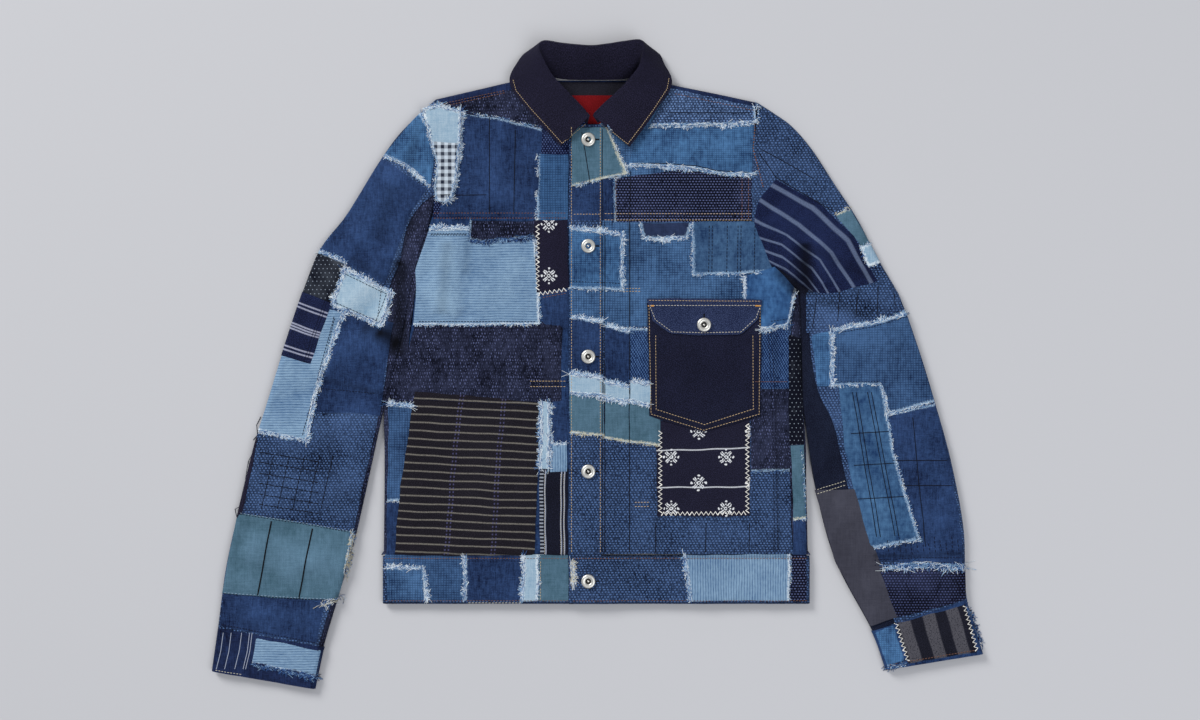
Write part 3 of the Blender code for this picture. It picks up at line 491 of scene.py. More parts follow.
def weave_cloth(name, deep, pale, pattern, turn=0.0, fade=0.5, worn="9db9d3",
                wear=0.7, depth=0.35, extra=None):
    """A woven finish: deep and pale yarns shared out by a pattern, faded in patches, with worn raw
    edges. Folds are paler on their ridges and darker in their troughs, partly as wear and partly as
    painted shade, and hollows are darkened with painted shade. Extra adds stripes or prints to the colour."""
    f = Finish(name, turn)
    yarn = pattern(f)
    blotch = (f.noise(38.0, 46.0, 3.0, 3.0) - 0.5) * fade
    mottle = (f.noise(5.0, 7.0, 3.0, 4.0) - 0.5) * (fade * 0.8)
    # Fold heights pale the ridges and darken the troughs: partly wear, partly painted shade.
    share = yarn + f.fold * FOLD_WEAR_AND_SHADE + (blotch + mottle)
    share.socket.node.use_clamp = True
    colour = f.mix(share, tint(deep), tint(pale))
    if extra:
        colour = extra(f, colour)
    ragged = f.margin + f.noise(1.8, 1.8, 2.0, 5.0) * RAGGED_BY
    colour = f.mix(f.step(ragged, 1.2, -1.2) * wear, colour, tint(worn))
    # Painted shade: the cloth darkens towards near-black in hollows under the arms, in deep folds and along
    # edges.
    colour = f.mix(f.hollow_shade * HOLLOW_SHADE_SHARE, colour, tint(HOLLOW_SHADE_COLOUR))
    return f.done(colour, yarn * 0.6 + f.noise(0.9, 0.9, 1.0, 6.0) * 0.5, depth)


indigo_denim = weave_cloth("indigo_denim", "0a1734", "34507f", streaks, fade=0.8)
dark_denim = weave_cloth("dark_denim", "090e25", "293a64", streaks, fade=0.7)

BACK_ARM_RIGHT = [(-202, 160), (-197, 180)]
BACK_ARM_LEFT = [(205, 114), (186, 180)]
back_right = [(x + BACK_REACH, y) for y, x, reach in SIDE_RIGHT[2:]] + BACK_ARM_RIGHT
back_left = [(x - BACK_REACH, y) for y, x, reach in SIDE_LEFT[2:]] + BACK_ARM_LEFT
lay_cloth(
    "back_panel_cloth", [("back", back_right, back_left, 12.0, "both")], indigo_denim,
    cell=12.0, matched=True, drift=False, stands_for=["back_panel"],
)

# The yoke's upper edge: x, y, and how far past the shoulder's brink its cut goes on the front.
YOKE_EDGE = [
    (-193, 318, 1.0), (-150, 328, 1.0), (-107, 338, 1.0), (-80, 343.5, 1.0), (-67, 344, 0.5),
    (-52, 341, 0.0), (-6, 341, 0.0), (41, 341, 0.0), (54, 343, 0.5), (66, 341, 1.0),
    (88, 335.5, 1.0), (140, 325, 1.0), (191, 314, 1.0),
]
YOKE_TURN = 9.0
yoke_low = [(x, BACK_YOKE_Y) for x, y, turn in YOKE_EDGE]
yoke_high = [(x, y - BRINK * turn) for x, y, turn in YOKE_EDGE]
yoke_front = [(x, y - YOKE_TURN * turn) for x, y, turn in YOKE_EDGE]
lay_cloth(
    "back_yoke_cloth",
    [("back_shoulder", yoke_low, yoke_high, 12.0, "first"),
     ("shoulder", yoke_high, yoke_front, 2.5, "second")], dark_denim,
    cell=8.0, matched=True, drift=False, stands_for=["back_yoke"],
)


# ---- Side panels ----
# A strip of dark cloth down each side, from the armpit to the waistband. Each turns round the
# side fold, so its seams lie a little way in on the front and on the back.

def yarn_dashes(f, pitch_x, pitch_y, wide, tall, shift, broken=0.5):
    """Short pale yarns in rows, each row moved sideways by a share of the pitch."""
    row = f.calc("FLOOR", f.y / pitch_y)
    swing = f.noise(14.0, 9.0, 1.0, 7.0) * 2.0
    across = f.lines(f.x + swing + row * (pitch_x * shift), pitch_x, wide / 2.0, 0.35)
    up = f.lines(f.y + pitch_y / 2.0, pitch_y, tall / 2.0, 0.35)
    kept = f.step(f.noise(2.6, 2.6, 2.0, 8.0), 0.2 + 0.3 * broken, 0.3 + 0.3 * broken)
    return across * up * kept


def speckle(f):
    """Dark denim with broken pale warp flecks."""
    fleck = yarn_dashes(f, 2.9, 4.0, 1.2, 2.6, 0.45, 0.9)
    bands = f.step(f.noise(7.0, 44.0, 1.0, 12.0), 0.4, 0.6) * 0.8 + 0.35
    return fleck * bands + f.noise(1.4, 8.0, 2.0, 9.0) * 0.22


speckled_dark = weave_cloth("speckled_dark_cloth", "080b1b", "565e84", speckle, fade=0.4)
SEAM_IN = 0.8
BACK_LAP = 1.0

for side, table, way in (("right", SIDE_RIGHT + SIDE_TOP_RIGHT, 1.0), ("left", SIDE_LEFT, -1.0)):
    front_seam = [(x + way * (reach - SEAM_IN), y) for y, x, reach in table[2:]]
    brink = [(x + way * BRINK, y) for y, x, reach in table[2:]]
    back_seam = [(x + way * (BACK_REACH - BACK_LAP), y) for y, x, reach in table[2:]]
    lay_cloth(
        f"side_panel_{side}_cloth",
        [("front", front_seam, brink, 2.5, "first"), ("back", brink, back_seam, 8.0, "second")],
        speckled_dark, matched=True, drift=False, stands_for=[f"side_panel_{side}"],
    )


# ---- Fronts and front yokes ----
# Two fronts and two yokes of indigo denim carry nearly all of the patches. The right front runs on
# under the left one's placket. Each yoke is sewn over its front with two rows of stitching.

UNDERLAP_X = 2.0
PLEAT_X = PLACKET_LEFT_X - 2.0
YOKE_LIFT = 0.2
FRONT_RIGHT_ARM = [(-202, 160), (-197, 178)]
FRONT_LEFT_ARM = [(210, 117), (196, 146), (186, 178)]


def rice_stitch(f):
    """A thick twill whose pale yarns show as slanted rows of grains."""
    return yarn_dashes(f, 4.0, 2.9, 2.3, 1.6, 0.38, 0.6) * 0.85 + f.noise(1.5, 7.0, 2.0, 9.0) * 0.36


def fine_twill(f):
    return yarn_dashes(f, 3.4, 2.6, 1.4, 1.5, 0.5)


def grid(f, pitch, raised):
    """A plain weave with sunk yarns both ways, so that small pale squares stand up."""
    swing = f.noise(18.0, 18.0, 1.0, 7.0) * 1.6
    gap_x = f.lines(f.x + swing, pitch, 0.5, 0.45)
    gap_y = f.lines(f.y + swing, pitch * 0.92, 0.5, 0.45)
    slub = f.noise(1.5, 20.0, 2.0, 9.0) + f.noise(20.0, 1.5, 2.0, 10.0)
    return (1.0 - f.largest(gap_x, gap_y)) * raised + slub * 0.32


def waffle(f):
    return grid(f, 3.1, 0.42)


def linen(f):
    return grid(f, 2.7, 0.3)


def soft_plain(f):
    """A fine plain weave with a few thick yarns."""
    thick = f.noise(1.4, 24.0, 2.0, 9.0) + f.noise(24.0, 1.4, 2.0, 10.0)
    return thick * 0.3 + f.noise(1.2, 1.2, 1.0, 3.0) * 0.3


def small_grains(f):
    """The faint grain of fine cotton."""
    return f.step(f.noise(1.0, 1.0, 2.0, 9.0), 0.35, 0.75)


rice_cloth = weave_cloth("rice_stitch_cloth", "050d22", "506c9b", rice_stitch, fade=0.25)
rice_light = weave_cloth("light_rice_cloth", "08142f", "6a88b8", rice_stitch, fade=0.3)
waffle_cloth = weave_cloth("waffle_cloth", "0d2041", "4f74a0", waffle, fade=0.8)
waffle_deep = weave_cloth("deep_waffle_cloth", "0b1c3b", "456691", waffle, fade=0.8)
twill_navy = weave_cloth("navy_twill_cloth", "0b1130", "4b5c88", fine_twill)

right_edge = [(x + reach, y) for y, x, reach in SIDE_RIGHT[2:]] + FRONT_RIGHT_ARM
left_edge = [(x - reach, y) for y, x, reach in SIDE_LEFT[2:]] + FRONT_LEFT_ARM
yoke_right_top = [(-192, 309), (-150, 319), (-109, 329), (-72, 337), (-61, 330), (-30, 300), (2, 282)]
yoke_left_top = [(3, 288), (19, 300), (35, 315), (48, 328), (88, 329.6), (140, 319), (189, 308)]
for piece, below, layer, low, high, finish, matched, lift in (
    ("front_panel_right", "back_panel", "front_below_lap",
     right_edge, [(UNDERLAP_X, y) for x, y in right_edge], indigo_denim, True, 0.0),
    ("front_panel_left", "back_panel", "front",
     [(PLEAT_X, y) for x, y in left_edge], left_edge, rice_cloth, True, 0.0),
    ("front_yoke_right", "back_yoke", "front_below_lap",
     [(-197, YOKE_Y), (UNDERLAP_X, YOKE_Y)], yoke_right_top, twill_navy, False, YOKE_LIFT),
    ("front_yoke_left", "back_yoke", "front",
     [(PLEAT_X, YOKE_Y), (186, YOKE_Y)], yoke_left_top, waffle_cloth, False, YOKE_LIFT),
):
    lay_cloth(
        f"{piece}_cloth", [(layer, low, high, 4.0, "both")], finish, lift=lift, matched=matched,
        stands_for=[piece],
    )


# ---- Placket ----
# The buttonhole strip of the left front, two layers of cloth stitched down both long edges. It
# lies over the right front from the neck to the waistband.

PLACKET_TOP_Y = 288.0
DOUBLED_WALL = 2.2
placket_low = [(PLACKET_RIGHT_X, BAND_Y), (PLACKET_RIGHT_X, -30), (PLACKET_RIGHT_X, PLACKET_TOP_Y)]
placket_high = [(PLACKET_LEFT_X, y) for x, y in placket_low]
lay_cloth(
    "placket_cloth", [("front", placket_low, placket_high, 4.0, "both")], rice_cloth, lift=0.25,
    wall=DOUBLED_WALL, droop=0.3, stands_for=["placket"],
)


# ---- Waistband ----
# One band of doubled denim round the hem, from under the placket on the right round the back to
# the buttonhole end on the left. Both of its long edges are topstitched.

BAND_RIGHT_X = -257.0
BAND_LEFT_X = 254.0
band_rows = [HEM_Y, (HEM_Y + BAND_Y) / 2.0, BAND_Y]
brink_right = [(BAND_RIGHT_X + BRINK, y) for y in band_rows]
brink_left = [(BAND_LEFT_X - BRINK, y) for y in band_rows]
lay_cloth(
    "waistband_cloth",
    [("front_below_lap", [(UNDERLAP_X, y) for y in band_rows], brink_right, 4.0, "first"),
     ("back", brink_right, brink_left, 14.0, "none"),
     ("front", brink_left, [(PLACKET_RIGHT_X, y) for y in band_rows], 4.0, "second")],
    rice_cloth, wall=DOUBLED_WALL, drift=False, stands_for=["waistband"],
)


# ---- Sleeves and cuffs ----
# Two-piece sleeves of thick indigo twill, set into the armholes and lying beside the body, with a
# cuff of doubled cloth at each end. The lower piece of each is dark and joins under the arm.

# Sections from the armhole to the cuff's end: x, y of the outer fold, x, y of the inner fold, and
# how far in from the inner fold the seam lies on the upper side.
SLEEVE_RIGHT = [
    (-193, 318, -216, 112, 98), (-213, 300, -219.5, 99, 96), (-238, 275, -222, 87, 78),
    (-263, 240, -224.5, 75, 54), (-300, 180, -228, 60, 43), (-332, 138, -231, 41, 31),
    (-354, 82, -237, 15, 19), (-376, 16, -245, -18, 12), (-395, -46, -257, -62, 10),
    (-410, -94, -271, -126, 10), (-426, -160, -289, -206, 10), (-444, -240, -309, -276, 10),
    (-454, -314, -327, -337, 10), (-461.4, -366, -338, -387.4, 10),
]
SLEEVE_LEFT = [
    (191, 314, 204, 107, 44), (211, 301, 222, 97.5, 43), (233, 285, 239.5, 88.5, 42),
    (257, 257, 241, 77, 40), (283, 217, 242, 62, 35), (310, 176, 242.5, 43, 27),
    (335, 128, 243, 20, 20), (362, 80, 243.5, -8, 20), (384, 20, 244.5, -44, 26),
    (403, -42, 250, -84, 38), (423, -115, 260, -147, 42), (438, -196, 284, -234, 42),
    (442, -280, 328, -318, 33), (461.4, -346, 345, -364, 33),
]
ARMHOLE_RIGHT = [(-216, 112), (-206, 138), (-200, 160), (-195, 192), (-191, 246), (-193, 318)]
ARMHOLE_LEFT = [(204, 107), (192, 145), (186, 172), (184, 215), (186, 258), (191, 314)]
# Soft folds of the sleeves, with the same columns as those of the body.
SLEEVE_FOLDS = [
    (-236, 238, -290, 150, 16, 2.8), (-224, 150, -300, 66, 14, 3.4), (-240, 44, -340, -2, 14, 2.8),
    (-262, -62, -384, -84, 15, 2.6), (-280, -136, -404, -168, 14, 2.0), (-300, -240, -424, -214, 14, 2.4),
    (-322, -306, -438, -292, 11, 1.8), (-246, 110, -330, 20, 10, -1.2), (-262, -10, -360, -40, 10, -1.4),
    (-300, -110, -396, -124, 10, -1.2), (-300, -192, -420, -190, 10, -1.0), (246, 142, 254, 90, 9, -4.0),
    (262, 150, 274, 96, 9, 3.4), (226, 148, 240, 104, 8, 3.0), (206, 176, 300, 120, 14, 3.0),
    (256, 52, 362, 26, 15, 2.8), (262, -58, 398, -84, 15, 2.2), (284, -168, 420, -186, 14, 2.4),
    (318, -262, 428, -240, 12, 2.2), (230, 120, 330, 60, 10, -1.6), (262, -4, 380, -20, 10, -1.2),
    (276, -120, 410, -136, 10, -1.4), (240, 250, 320, 176, 14, 1.4), (-214, 280, -250, 214, 10, 1.3),
    (-246, 176, -316, 122, 9, 1.4), (-234, 96, -270, 30, 9, 1.6), (-300, 40, -360, 28, 9, 1.3),
    (-276, -30, -330, -66, 9, -1.2), (-330, -150, -414, -128, 9, 1.1), (-310, -216, -380, -252, 10, 1.3),
    (-400, -200, -436, -280, 9, 1.1), (-340, -280, -420, -306, 8, 1.1), (204, 240, 262, 224, 9, 1.2),
    (232, 186, 300, 150, 8, 1.4), (250, 84, 300, 44, 9, 1.5), (300, 90, 362, 74, 9, 1.2),
    (262, 10, 330, -20, 9, 1.3), (320, -40, 400, -60, 9, 1.2), (290, -120, 340, -170, 9, 1.3),
    (360, -200, 430, -176, 9, 1.1), (340, -250, 400, -270, 8, 1.0),
]
UNDER_REACH = 41.4
SEAM_HALF = 3.0
CUFF_ROW = 12
BOW_SHARE = 0.16
SLEEVE_UNEVEN = 1.3


def sleeve_relief(x, y):
    return creased(SLEEVE_FOLDS, x, y) + SLEEVE_UNEVEN * uneven(x, y)


def sleeve_edges(table):
    """The outer and the inner fold of a sleeve, each with its way into the cloth."""
    inside = (math.copysign(330.0, table[0][0]), -60.0)
    return [fold_line([row[k:k + 2] for row in table], inside) for k in (0, 2)]


for side, table in (("right", SLEEVE_RIGHT), ("left", SLEEVE_LEFT)):
    edges = sleeve_edges(table)
    LAYERS[f"sleeve_{side}"] = (1.0, edges, sleeve_relief)
    LAYERS[f"sleeve_{side}_below"] = (-1.0, edges, no_relief)


def armhole_bow(table, armhole):
    """Draws the start of a sleeve from its first straight section on to the armhole's curve."""
    curve = smooth_line(armhole)
    curve = curve[np.argsort(curve[:, 1])]
    top_x, top_y, low_x, low_y = table[0][:4]

    def bow(plan, u):
        share = (plan[:, 1] - low_y) / (top_y - low_y)
        straight = low_x + (top_x - low_x) * share
        shift = np.interp(plan[:, 1], curve[:, 1], curve[:, 0]) - straight
        inside = (share > 0.0) & (share < 1.0)
        fade = 1.0 - smooth_step(u / BOW_SHARE)
        return plan + np.column_stack([shift * fade * inside, np.zeros(len(plan))])

    return bow


plain_navy = weave_cloth("plain_navy_cloth", "090c1d", "222a40", small_grains)

for side, table, armhole in (("right", SLEEVE_RIGHT, ARMHOLE_RIGHT), ("left", SLEEVE_LEFT, ARMHOLE_LEFT)):
    upper = f"sleeve_{side}"
    lower = f"sleeve_{side}_below"
    under_cloth, cuff_cloth = (plain_navy, indigo_denim) if side == "left" else (speckled_dark, dark_denim)
    bow = armhole_bow(table, armhole)
    seam_in = smooth_line([(row[4], 0.0) for row in table])[:, :1]
    (outer, outer_way), (inner, inner_way) = LAYERS[upper][1]
    across = outer - inner
    across /= np.linalg.norm(across, axis=1)[:, None]
    outer_brink = outer + outer_way * BRINK
    inner_brink = inner + inner_way * BRINK
    top_seam = inner + across * (seam_in - 0.6)
    under_seam = inner + across * UNDER_REACH
    arm = slice(0, CUFF_ROW * LINE_STEPS + 1)
    end = slice(CUFF_ROW * LINE_STEPS, None)
    lay_cloth(
        f"sleeve_{side}_top_cloth",
        [(upper, (top_seam - across * SEAM_HALF)[arm], outer_brink[arm], 4.0, "first"),
         (lower, outer_brink[arm], under_seam[arm], 14.0, "second")],
        rice_cloth, matched=True, drift=False, lift=0.3, bow=bow,
        stands_for=[f"sleeve_{side}_top"],
    )
    lay_cloth(
        f"sleeve_{side}_under_cloth",
        [(upper, (top_seam + across * SEAM_HALF)[arm], inner_brink[arm], 3.0, "first"),
         (lower, inner_brink[arm], (under_seam - across)[arm], 10.0, "second")],
        under_cloth, matched=True, drift=False, lift=-0.7, bow=bow,
        stands_for=[f"sleeve_{side}_under"],
    )
    lay_cloth(
        f"cuff_{side}_cloth",
        [(upper, inner_brink[end], outer_brink[end], 4.0, "none"),
         (lower, outer_brink[end], inner_brink[end], 12.0, "none")],
        cuff_cloth, matched=True, drift=False, lift=0.4, wall=2.0,
        stands_for=[f"cuff_{side}"],
    )


# ---- Collar ----
# A shirt collar of black-navy cloth, wall, stand and fall in one. The stand is sewn into the neck,
# turns over at the fold, and the fall lies on the fronts and hangs down behind. A fine tan stitch
# runs inside its outer edge.

# Stations round the collar from the right front edge to the left one: the seam, the fold and the
# edge as x, y, z, then how far the fall is tucked in behind.
COLLAR = [
    (-12, 289, 12.6, -9, 297, 18.0, -44, 261, 13.4, 0.0),
    (-30, 303, 10.4, -24, 313, 19.0, -62, 281, 12.8, 0.0),
    (-48, 318, 10.2, -38, 327, 20.5, -82, 304, 12.4, 0.0),
    (-61, 333, 10.2, -52, 342, 22.0, -100, 326, 12.0, 0.0),
    (-68, 345, 9.6, -60, 354, 23.5, -104.5, 342, 11.0, 0.05),
    (-65, 351, 7.4, -66, 366, 25.0, -96, 360, 8.0, 0.15),
    (-58, 349, 6.2, -69, 377, 26.0, -84, 374, 3.6, 0.45),
    (-50, 344, 5.6, -63, 383, 26.4, -66, 371, 1.5, 0.85),
    (-36, 342, 5.2, -44, 380, 26.6, -46, 362, 1.4, 1.0),
    (-20, 341.6, 5.2, -24, 378, 26.6, -24, 357, 1.4, 1.0),
    (-5, 341.6, 5.2, -6, 377, 26.6, -6, 355, 1.4, 1.0),
    (10, 341.6, 5.2, 12, 379, 26.6, 12, 357, 1.4, 1.0),
    (26, 342, 5.2, 32, 382, 26.6, 34, 362, 1.4, 1.0),
    (40, 344, 5.6, 50, 384, 26.4, 54, 371, 1.5, 0.85),
    (47, 349, 6.2, 55, 377, 26.0, 72, 373, 3.6, 0.45),
    (52, 351, 7.4, 53, 366, 25.0, 80, 358, 8.0, 0.15),
    (55, 345, 9.8, 49, 354, 23.5, 88, 342, 11.4, 0.05),
    (49, 333, 11.2, 40, 342, 22.0, 86, 328, 13.4, 0.0),
    (36, 318, 12.4, 25, 326, 20.5, 70, 304, 14.0, 0.0),
    (19, 303, 13.0, 9, 312, 19.6, 54, 281, 14.4, 0.0),
    (0, 289, 13.6, -6, 297, 19.4, 38, 260, 15.0, 0.0),
]
STAND_BOW = 2.0
FALL_BOW = 3.0
FALL_SHARE = 0.45
HANG_SHARE = 0.3
HANG_RUN = 11.0
HANG_Z = -1.0
STAND_PART = 0.3
COLLAR_WALL = 2.2

collar_navy = weave_cloth("collar_navy", "100f1c", "2b2940", small_grains, fade=0.3)


def collar_place(row, v):
    seam, fold, edge = (Vector(row[k:k + 3]) for k in (0, 3, 6))
    if v <= STAND_PART:
        share = v / STAND_PART
        return seam.lerp(fold, share) + Vector((0.0, 0.0, STAND_BOW * math.sin(math.pi * share)))
    share = (v - STAND_PART) / (1.0 - STAND_PART)
    lying = fold.lerp(edge, FALL_SHARE) + Vector((0.0, 0.0, FALL_BOW))
    hanging = Vector((fold.x + (edge.x - fold.x) * HANG_SHARE, fold.y + HANG_RUN, HANG_Z))
    bend = lying.lerp(hanging, row[9])
    return fold.lerp(bend, share).lerp(bend.lerp(edge, share), share)


COLLAR_ROWS = 26
COLLAR_LONG = 410.0
COLLAR_WIDE = 78.0
COLLAR_CUT = 84.0
stations = smooth_line(COLLAR, 6)
body = bmesh.new()
made = bmesh.ops.create_grid(body, x_segments=len(stations) - 1, y_segments=COLLAR_ROWS, size=0.5)
facts = []
for corner in made["verts"]:
    u = corner.co.x + 0.5
    v = corner.co.y + 0.5
    place = collar_place(stations[round(u * (len(stations) - 1))], v)
    place.z += 0.25 * math.sin(place.x / 7.0) * math.sin(place.y / 9.0) * v
    facts.append((u * COLLAR_LONG * MM, v * COLLAR_WIDE * MM, u, v, UNFRAYED, 0.0, 0.0))
    corner.co = place * MM
bmesh.ops.reverse_faces(body, faces=body.faces[:])
area = sum(face.calc_area() for face in body.faces) / MM ** 2
collar = give_wall(body, "collar_cloth", np.array(facts), collar_navy, COLLAR_WALL, 0.0)
state_sheet(collar, COLLAR_CUT, area / COLLAR_WIDE, area, ["collar"])


# ---- Neck facing and label ----
# A scoop of grey-black facing inside the back neck, which shows between the collar's two fronts,
# with a bare red woven label sewn on it.

NECK_DROP = -6.3
LAYERS["neck"] = (1.0, [], lambda x, y: np.full(len(x), NECK_DROP))
label_red = weave_cloth("label_cloth", "6e0f14", "9c2026", small_grains, fade=0.2)
facing_grey = weave_cloth("facing_cloth", "1d1d26", "3a3a46", small_grains, fade=0.3)
lay_cloth(
    "neck_facing_cloth",
    [("neck", [(-48, 325), (-44, 305), (-8, 262), (30, 305), (37, 325)],
      [(-50, 339), (-40, 339), (-8, 339), (30, 339), (39, 339)], 4.0, "both")],
    facing_grey, wall=1.0, matched=True, drift=False, stands_for=["neck_facing"],
)
lay_cloth(
    "neck_label_cloth", [("neck", [(-34, 287), (22, 287)], [(-34, 323), (22, 323)], 4.0, "both")],
    label_red, lift=0.9, wall=0.6, drift=False, stands_for=["neck_label"],
)


# ---- Patches on the right front and its yoke ----
# Worn scraps of indigo cloth, darned linen, corduroy-like rib and printed cotton, each cut by hand
# and sewn on flat. Most of their edges are raw and frayed.

PATCH_WALL = 0.6
LEVELS = {1: 0.7, 2: 1.3, 3: 1.9, 4: 3.6}
PATCH_CELL = 3.0
PATCH_DROOP = 0.5
UNFRAYED_PATCH = ("", "pale")
frayed_edges = []


def lay_patches(base, layer, *patches):
    """Sews patches on one layer; the piece named first is not used. Each is a name, its first and
    second edge, its finish and its level, then its frayed edges: f and s for the first and second
    edge, a and b for the sides where they start and end, with a capital where the fray is thick,
    and the fray's colours."""
    for patch in patches:
        key, first, second, finish, level, frays, mix = patch + UNFRAYED_PATCH[len(patch) - 5:]
        name = f"patch_{key}"
        lay_cloth(
            f"{name}_cloth", [(layer, first, second, PATCH_CELL, "both")], finish, LEVELS[level],
            PATCH_WALL, PATCH_CELL, True, droop=PATCH_DROOP, frays=frays.lower(),
            stands_for=[name] if name in bpy.data.objects else [],
        )
        sides = {"f": first, "s": second, "a": (first[0], second[0]), "b": (first[-1], second[-1])}
        centre = (np.mean(first, axis=0) + np.mean(second, axis=0)) / 2.0
        for letter in frays:
            edge = sides[letter.lower()]
            frayed_edges.append((edge, centre, mix, letter.isupper(), f"{name}_cloth"))


def overlaid(build, code, strength=1.0, broken=0.0):
    """A layer of another colour on the cloth, for stripes, prints and rows of stitches."""
    def extra(f, colour):
        share = build(f) * strength
        if broken:
            gap = f.step(f.noise(1.4, 1.4, 2.0, 12.0), 0.40 - 0.1 * broken, 0.52 - 0.05 * broken)
            share = share * (gap * broken + (1.0 - broken))
        return f.mix(share, colour, tint(code))
    return extra


def stripes(places, half, soft, code, strength, broken=0.0, use="along"):
    """Stripes at given shares of the way along or across a patch."""
    def build(f):
        share = 0.0
        for at in places:
            share = f.largest(share, f.band(getattr(f, use), at, half, soft))
        return share
    return overlaid(build, code, strength, broken)


def both(*extras):
    def extra(f, colour):
        for one in extras:
            colour = one(f, colour)
        return colour
    return extra


def ribs(f):
    """Fine pale ribs with thin dark gaps between them."""
    gap = f.lines(f.y + f.noise(50.0, 30.0, 1.0, 3.0) * 2.2, 3.1, 0.3, 0.5)
    return (1.0 - gap) * 0.46 + f.noise(9.0, 1.3, 2.0, 9.0) * 0.5


def sashiko(f):
    """Rows of short running stitches in pale thread, each row half a step on."""
    return yarn_dashes(f, 3.7, 3.2, 2.1, 1.3, 0.5, 0.3) * 0.8


def close_twill(f):
    return yarn_dashes(f, 3.2, 2.4, 1.6, 1.5, 0.4, 0.3)


def checks(f):
    """Even woven checks: pale, half and dark squares."""
    return (f.lines(f.x, 8.4, 2.1, 0.5) + f.lines(f.y, 8.4, 2.1, 0.5)) * 0.5


def plaid(f):
    bars = f.largest(f.lines(f.x, 13.0, 2.0, 1.2), f.lines(f.y, 15.0, 1.6, 1.2))
    return waffle(f) + bars * 0.14


SPRIG_WIDE = 65.5
SPRIG_TALL = 61.5
SPRIG_DOTS = ((8.6, 0.4, 1.1), (0.4, 8.8, 1.1), (5.2, 0.2, 0.7), (0.2, 5.2, 0.7))


def sprigs(start_x, start_y):
    """A plain generic sprig print in half-drop repeat: four leaves with a vein round a ring, and
    dots between them."""
    def build(f):
        curl = (f.noise(4.0, 4.0, 1.0, 21.0) - 0.5) * 3.4
        share = 0.0
        for shift in (0.0, 0.5):
            across = f.calc("PINGPONG", f.x - (start_x + shift * SPRIG_WIDE), SPRIG_WIDE / 2.0) + curl
            up = f.calc("PINGPONG", f.y - (start_y + shift * SPRIG_TALL), SPRIG_TALL / 2.0)
            away = f.distance(across, up)
            beside = f.calc("ABSOLUTE", (across - up) * 0.7)
            leaf = f.step(beside, 1.9, 1.4) * f.band(away, 6.0, 2.6, 0.4) * f.step(beside, 0.25, 0.65)
            marks = f.largest(leaf, f.band(away, 1.6, 0.55, 0.25))
            for dot_x, dot_y, radius in SPRIG_DOTS:
                gap = f.distance(across - dot_x, up - dot_y)
                marks = f.largest(marks, f.step(gap, radius + 0.3, radius - 0.3))
            share = f.largest(share, marks)
        return share
    return overlaid(build, "e3e6ea")


STRIPE_PITCH = 9.65


def woven_bars(f):
    """Grey stripes across a cloth that hangs a little askew."""
    sway = f.x * 0.045 + f.noise(50.0, 50.0, 1.0, 3.0) * 2.5
    return f.lines(f.y + sway, STRIPE_PITCH, 0.85, 0.5)


def dashes(f):
    """Short marks in four thin columns."""
    columns = 0.0
    for at in (0.36, 0.385, 0.69, 0.715):
        columns = f.largest(columns, f.band(f.along, at, 0.0045, 0.003))
    return columns * f.lines(f.y, 4.6, 1.0, 0.4)


def selvedge_ticks(f):
    return f.step(f.along, 0.16, 0.12) * f.lines(f.y, 4.2, 0.9, 0.4)


indigo = weave_cloth("faded_indigo", "0a1531", "344d7a", streaks, fade=0.7)
linen_blue = weave_cloth("blue_linen", "0c2147", "527fae", linen, fade=0.9)
linen_dark = weave_cloth("dark_linen", "090f22", "36456a", soft_plain)
linen_pale = weave_cloth(
    "pale_linen", "648cab", "c2d3dd", soft_plain,
    fade=0.4, worn="e6eef2",
)
linen_teal = weave_cloth(
    "teal_linen", "24434f", "66879f", soft_plain,
    fade=0.4, worn="d8d6c0",
)
rib_pale, rib_upright = (
    weave_cloth(name, "28507f", "90aec8", ribs, turn, 0.4, "e4eef4", depth=0.9)
    for name, turn in (("pale_rib", 0.0), ("upright_rib", 90.0))
)
plaid_blue = weave_cloth("plaid_blue", "0d2242", "3f6490", plaid)
twill_blue = weave_cloth("blue_twill", "0f2247", "4f6f9e", close_twill, fade=0.7)
sashiko_dark = weave_cloth("dark_sashiko", "070a1b", "606b98", sashiko, fade=0.25)
sashiko_dim = weave_cloth("dim_sashiko", "060818", "48517a", sashiko, fade=0.25)
gingham = weave_cloth("small_gingham", "c3cfdb", "1b2236", checks, fade=0.25)
chest_sprigs = weave_cloth(
    "chest_sprigs", "141221", "28263d", small_grains, fade=0.25,
    extra=sprigs(-58.0, 168.0),
)
barred_black = weave_cloth(
    "barred_black", "131118", "29262f", small_grains, fade=0.25,
    extra=both(overlaid(woven_bars, "86827a", 0.7, 0.5), overlaid(dashes, "5a5a86", 0.6)),
)
ruled_black = weave_cloth(
    "ruled_black", "0c0d18", "212437", small_grains, fade=0.25,
    extra=both(stripes((0.2, 0.76, 0.87), 0.02, 0.012, "b0b8cc", 0.8, 0.3),
               overlaid(selvedge_ticks, "b9c2d0", 0.6)),
)

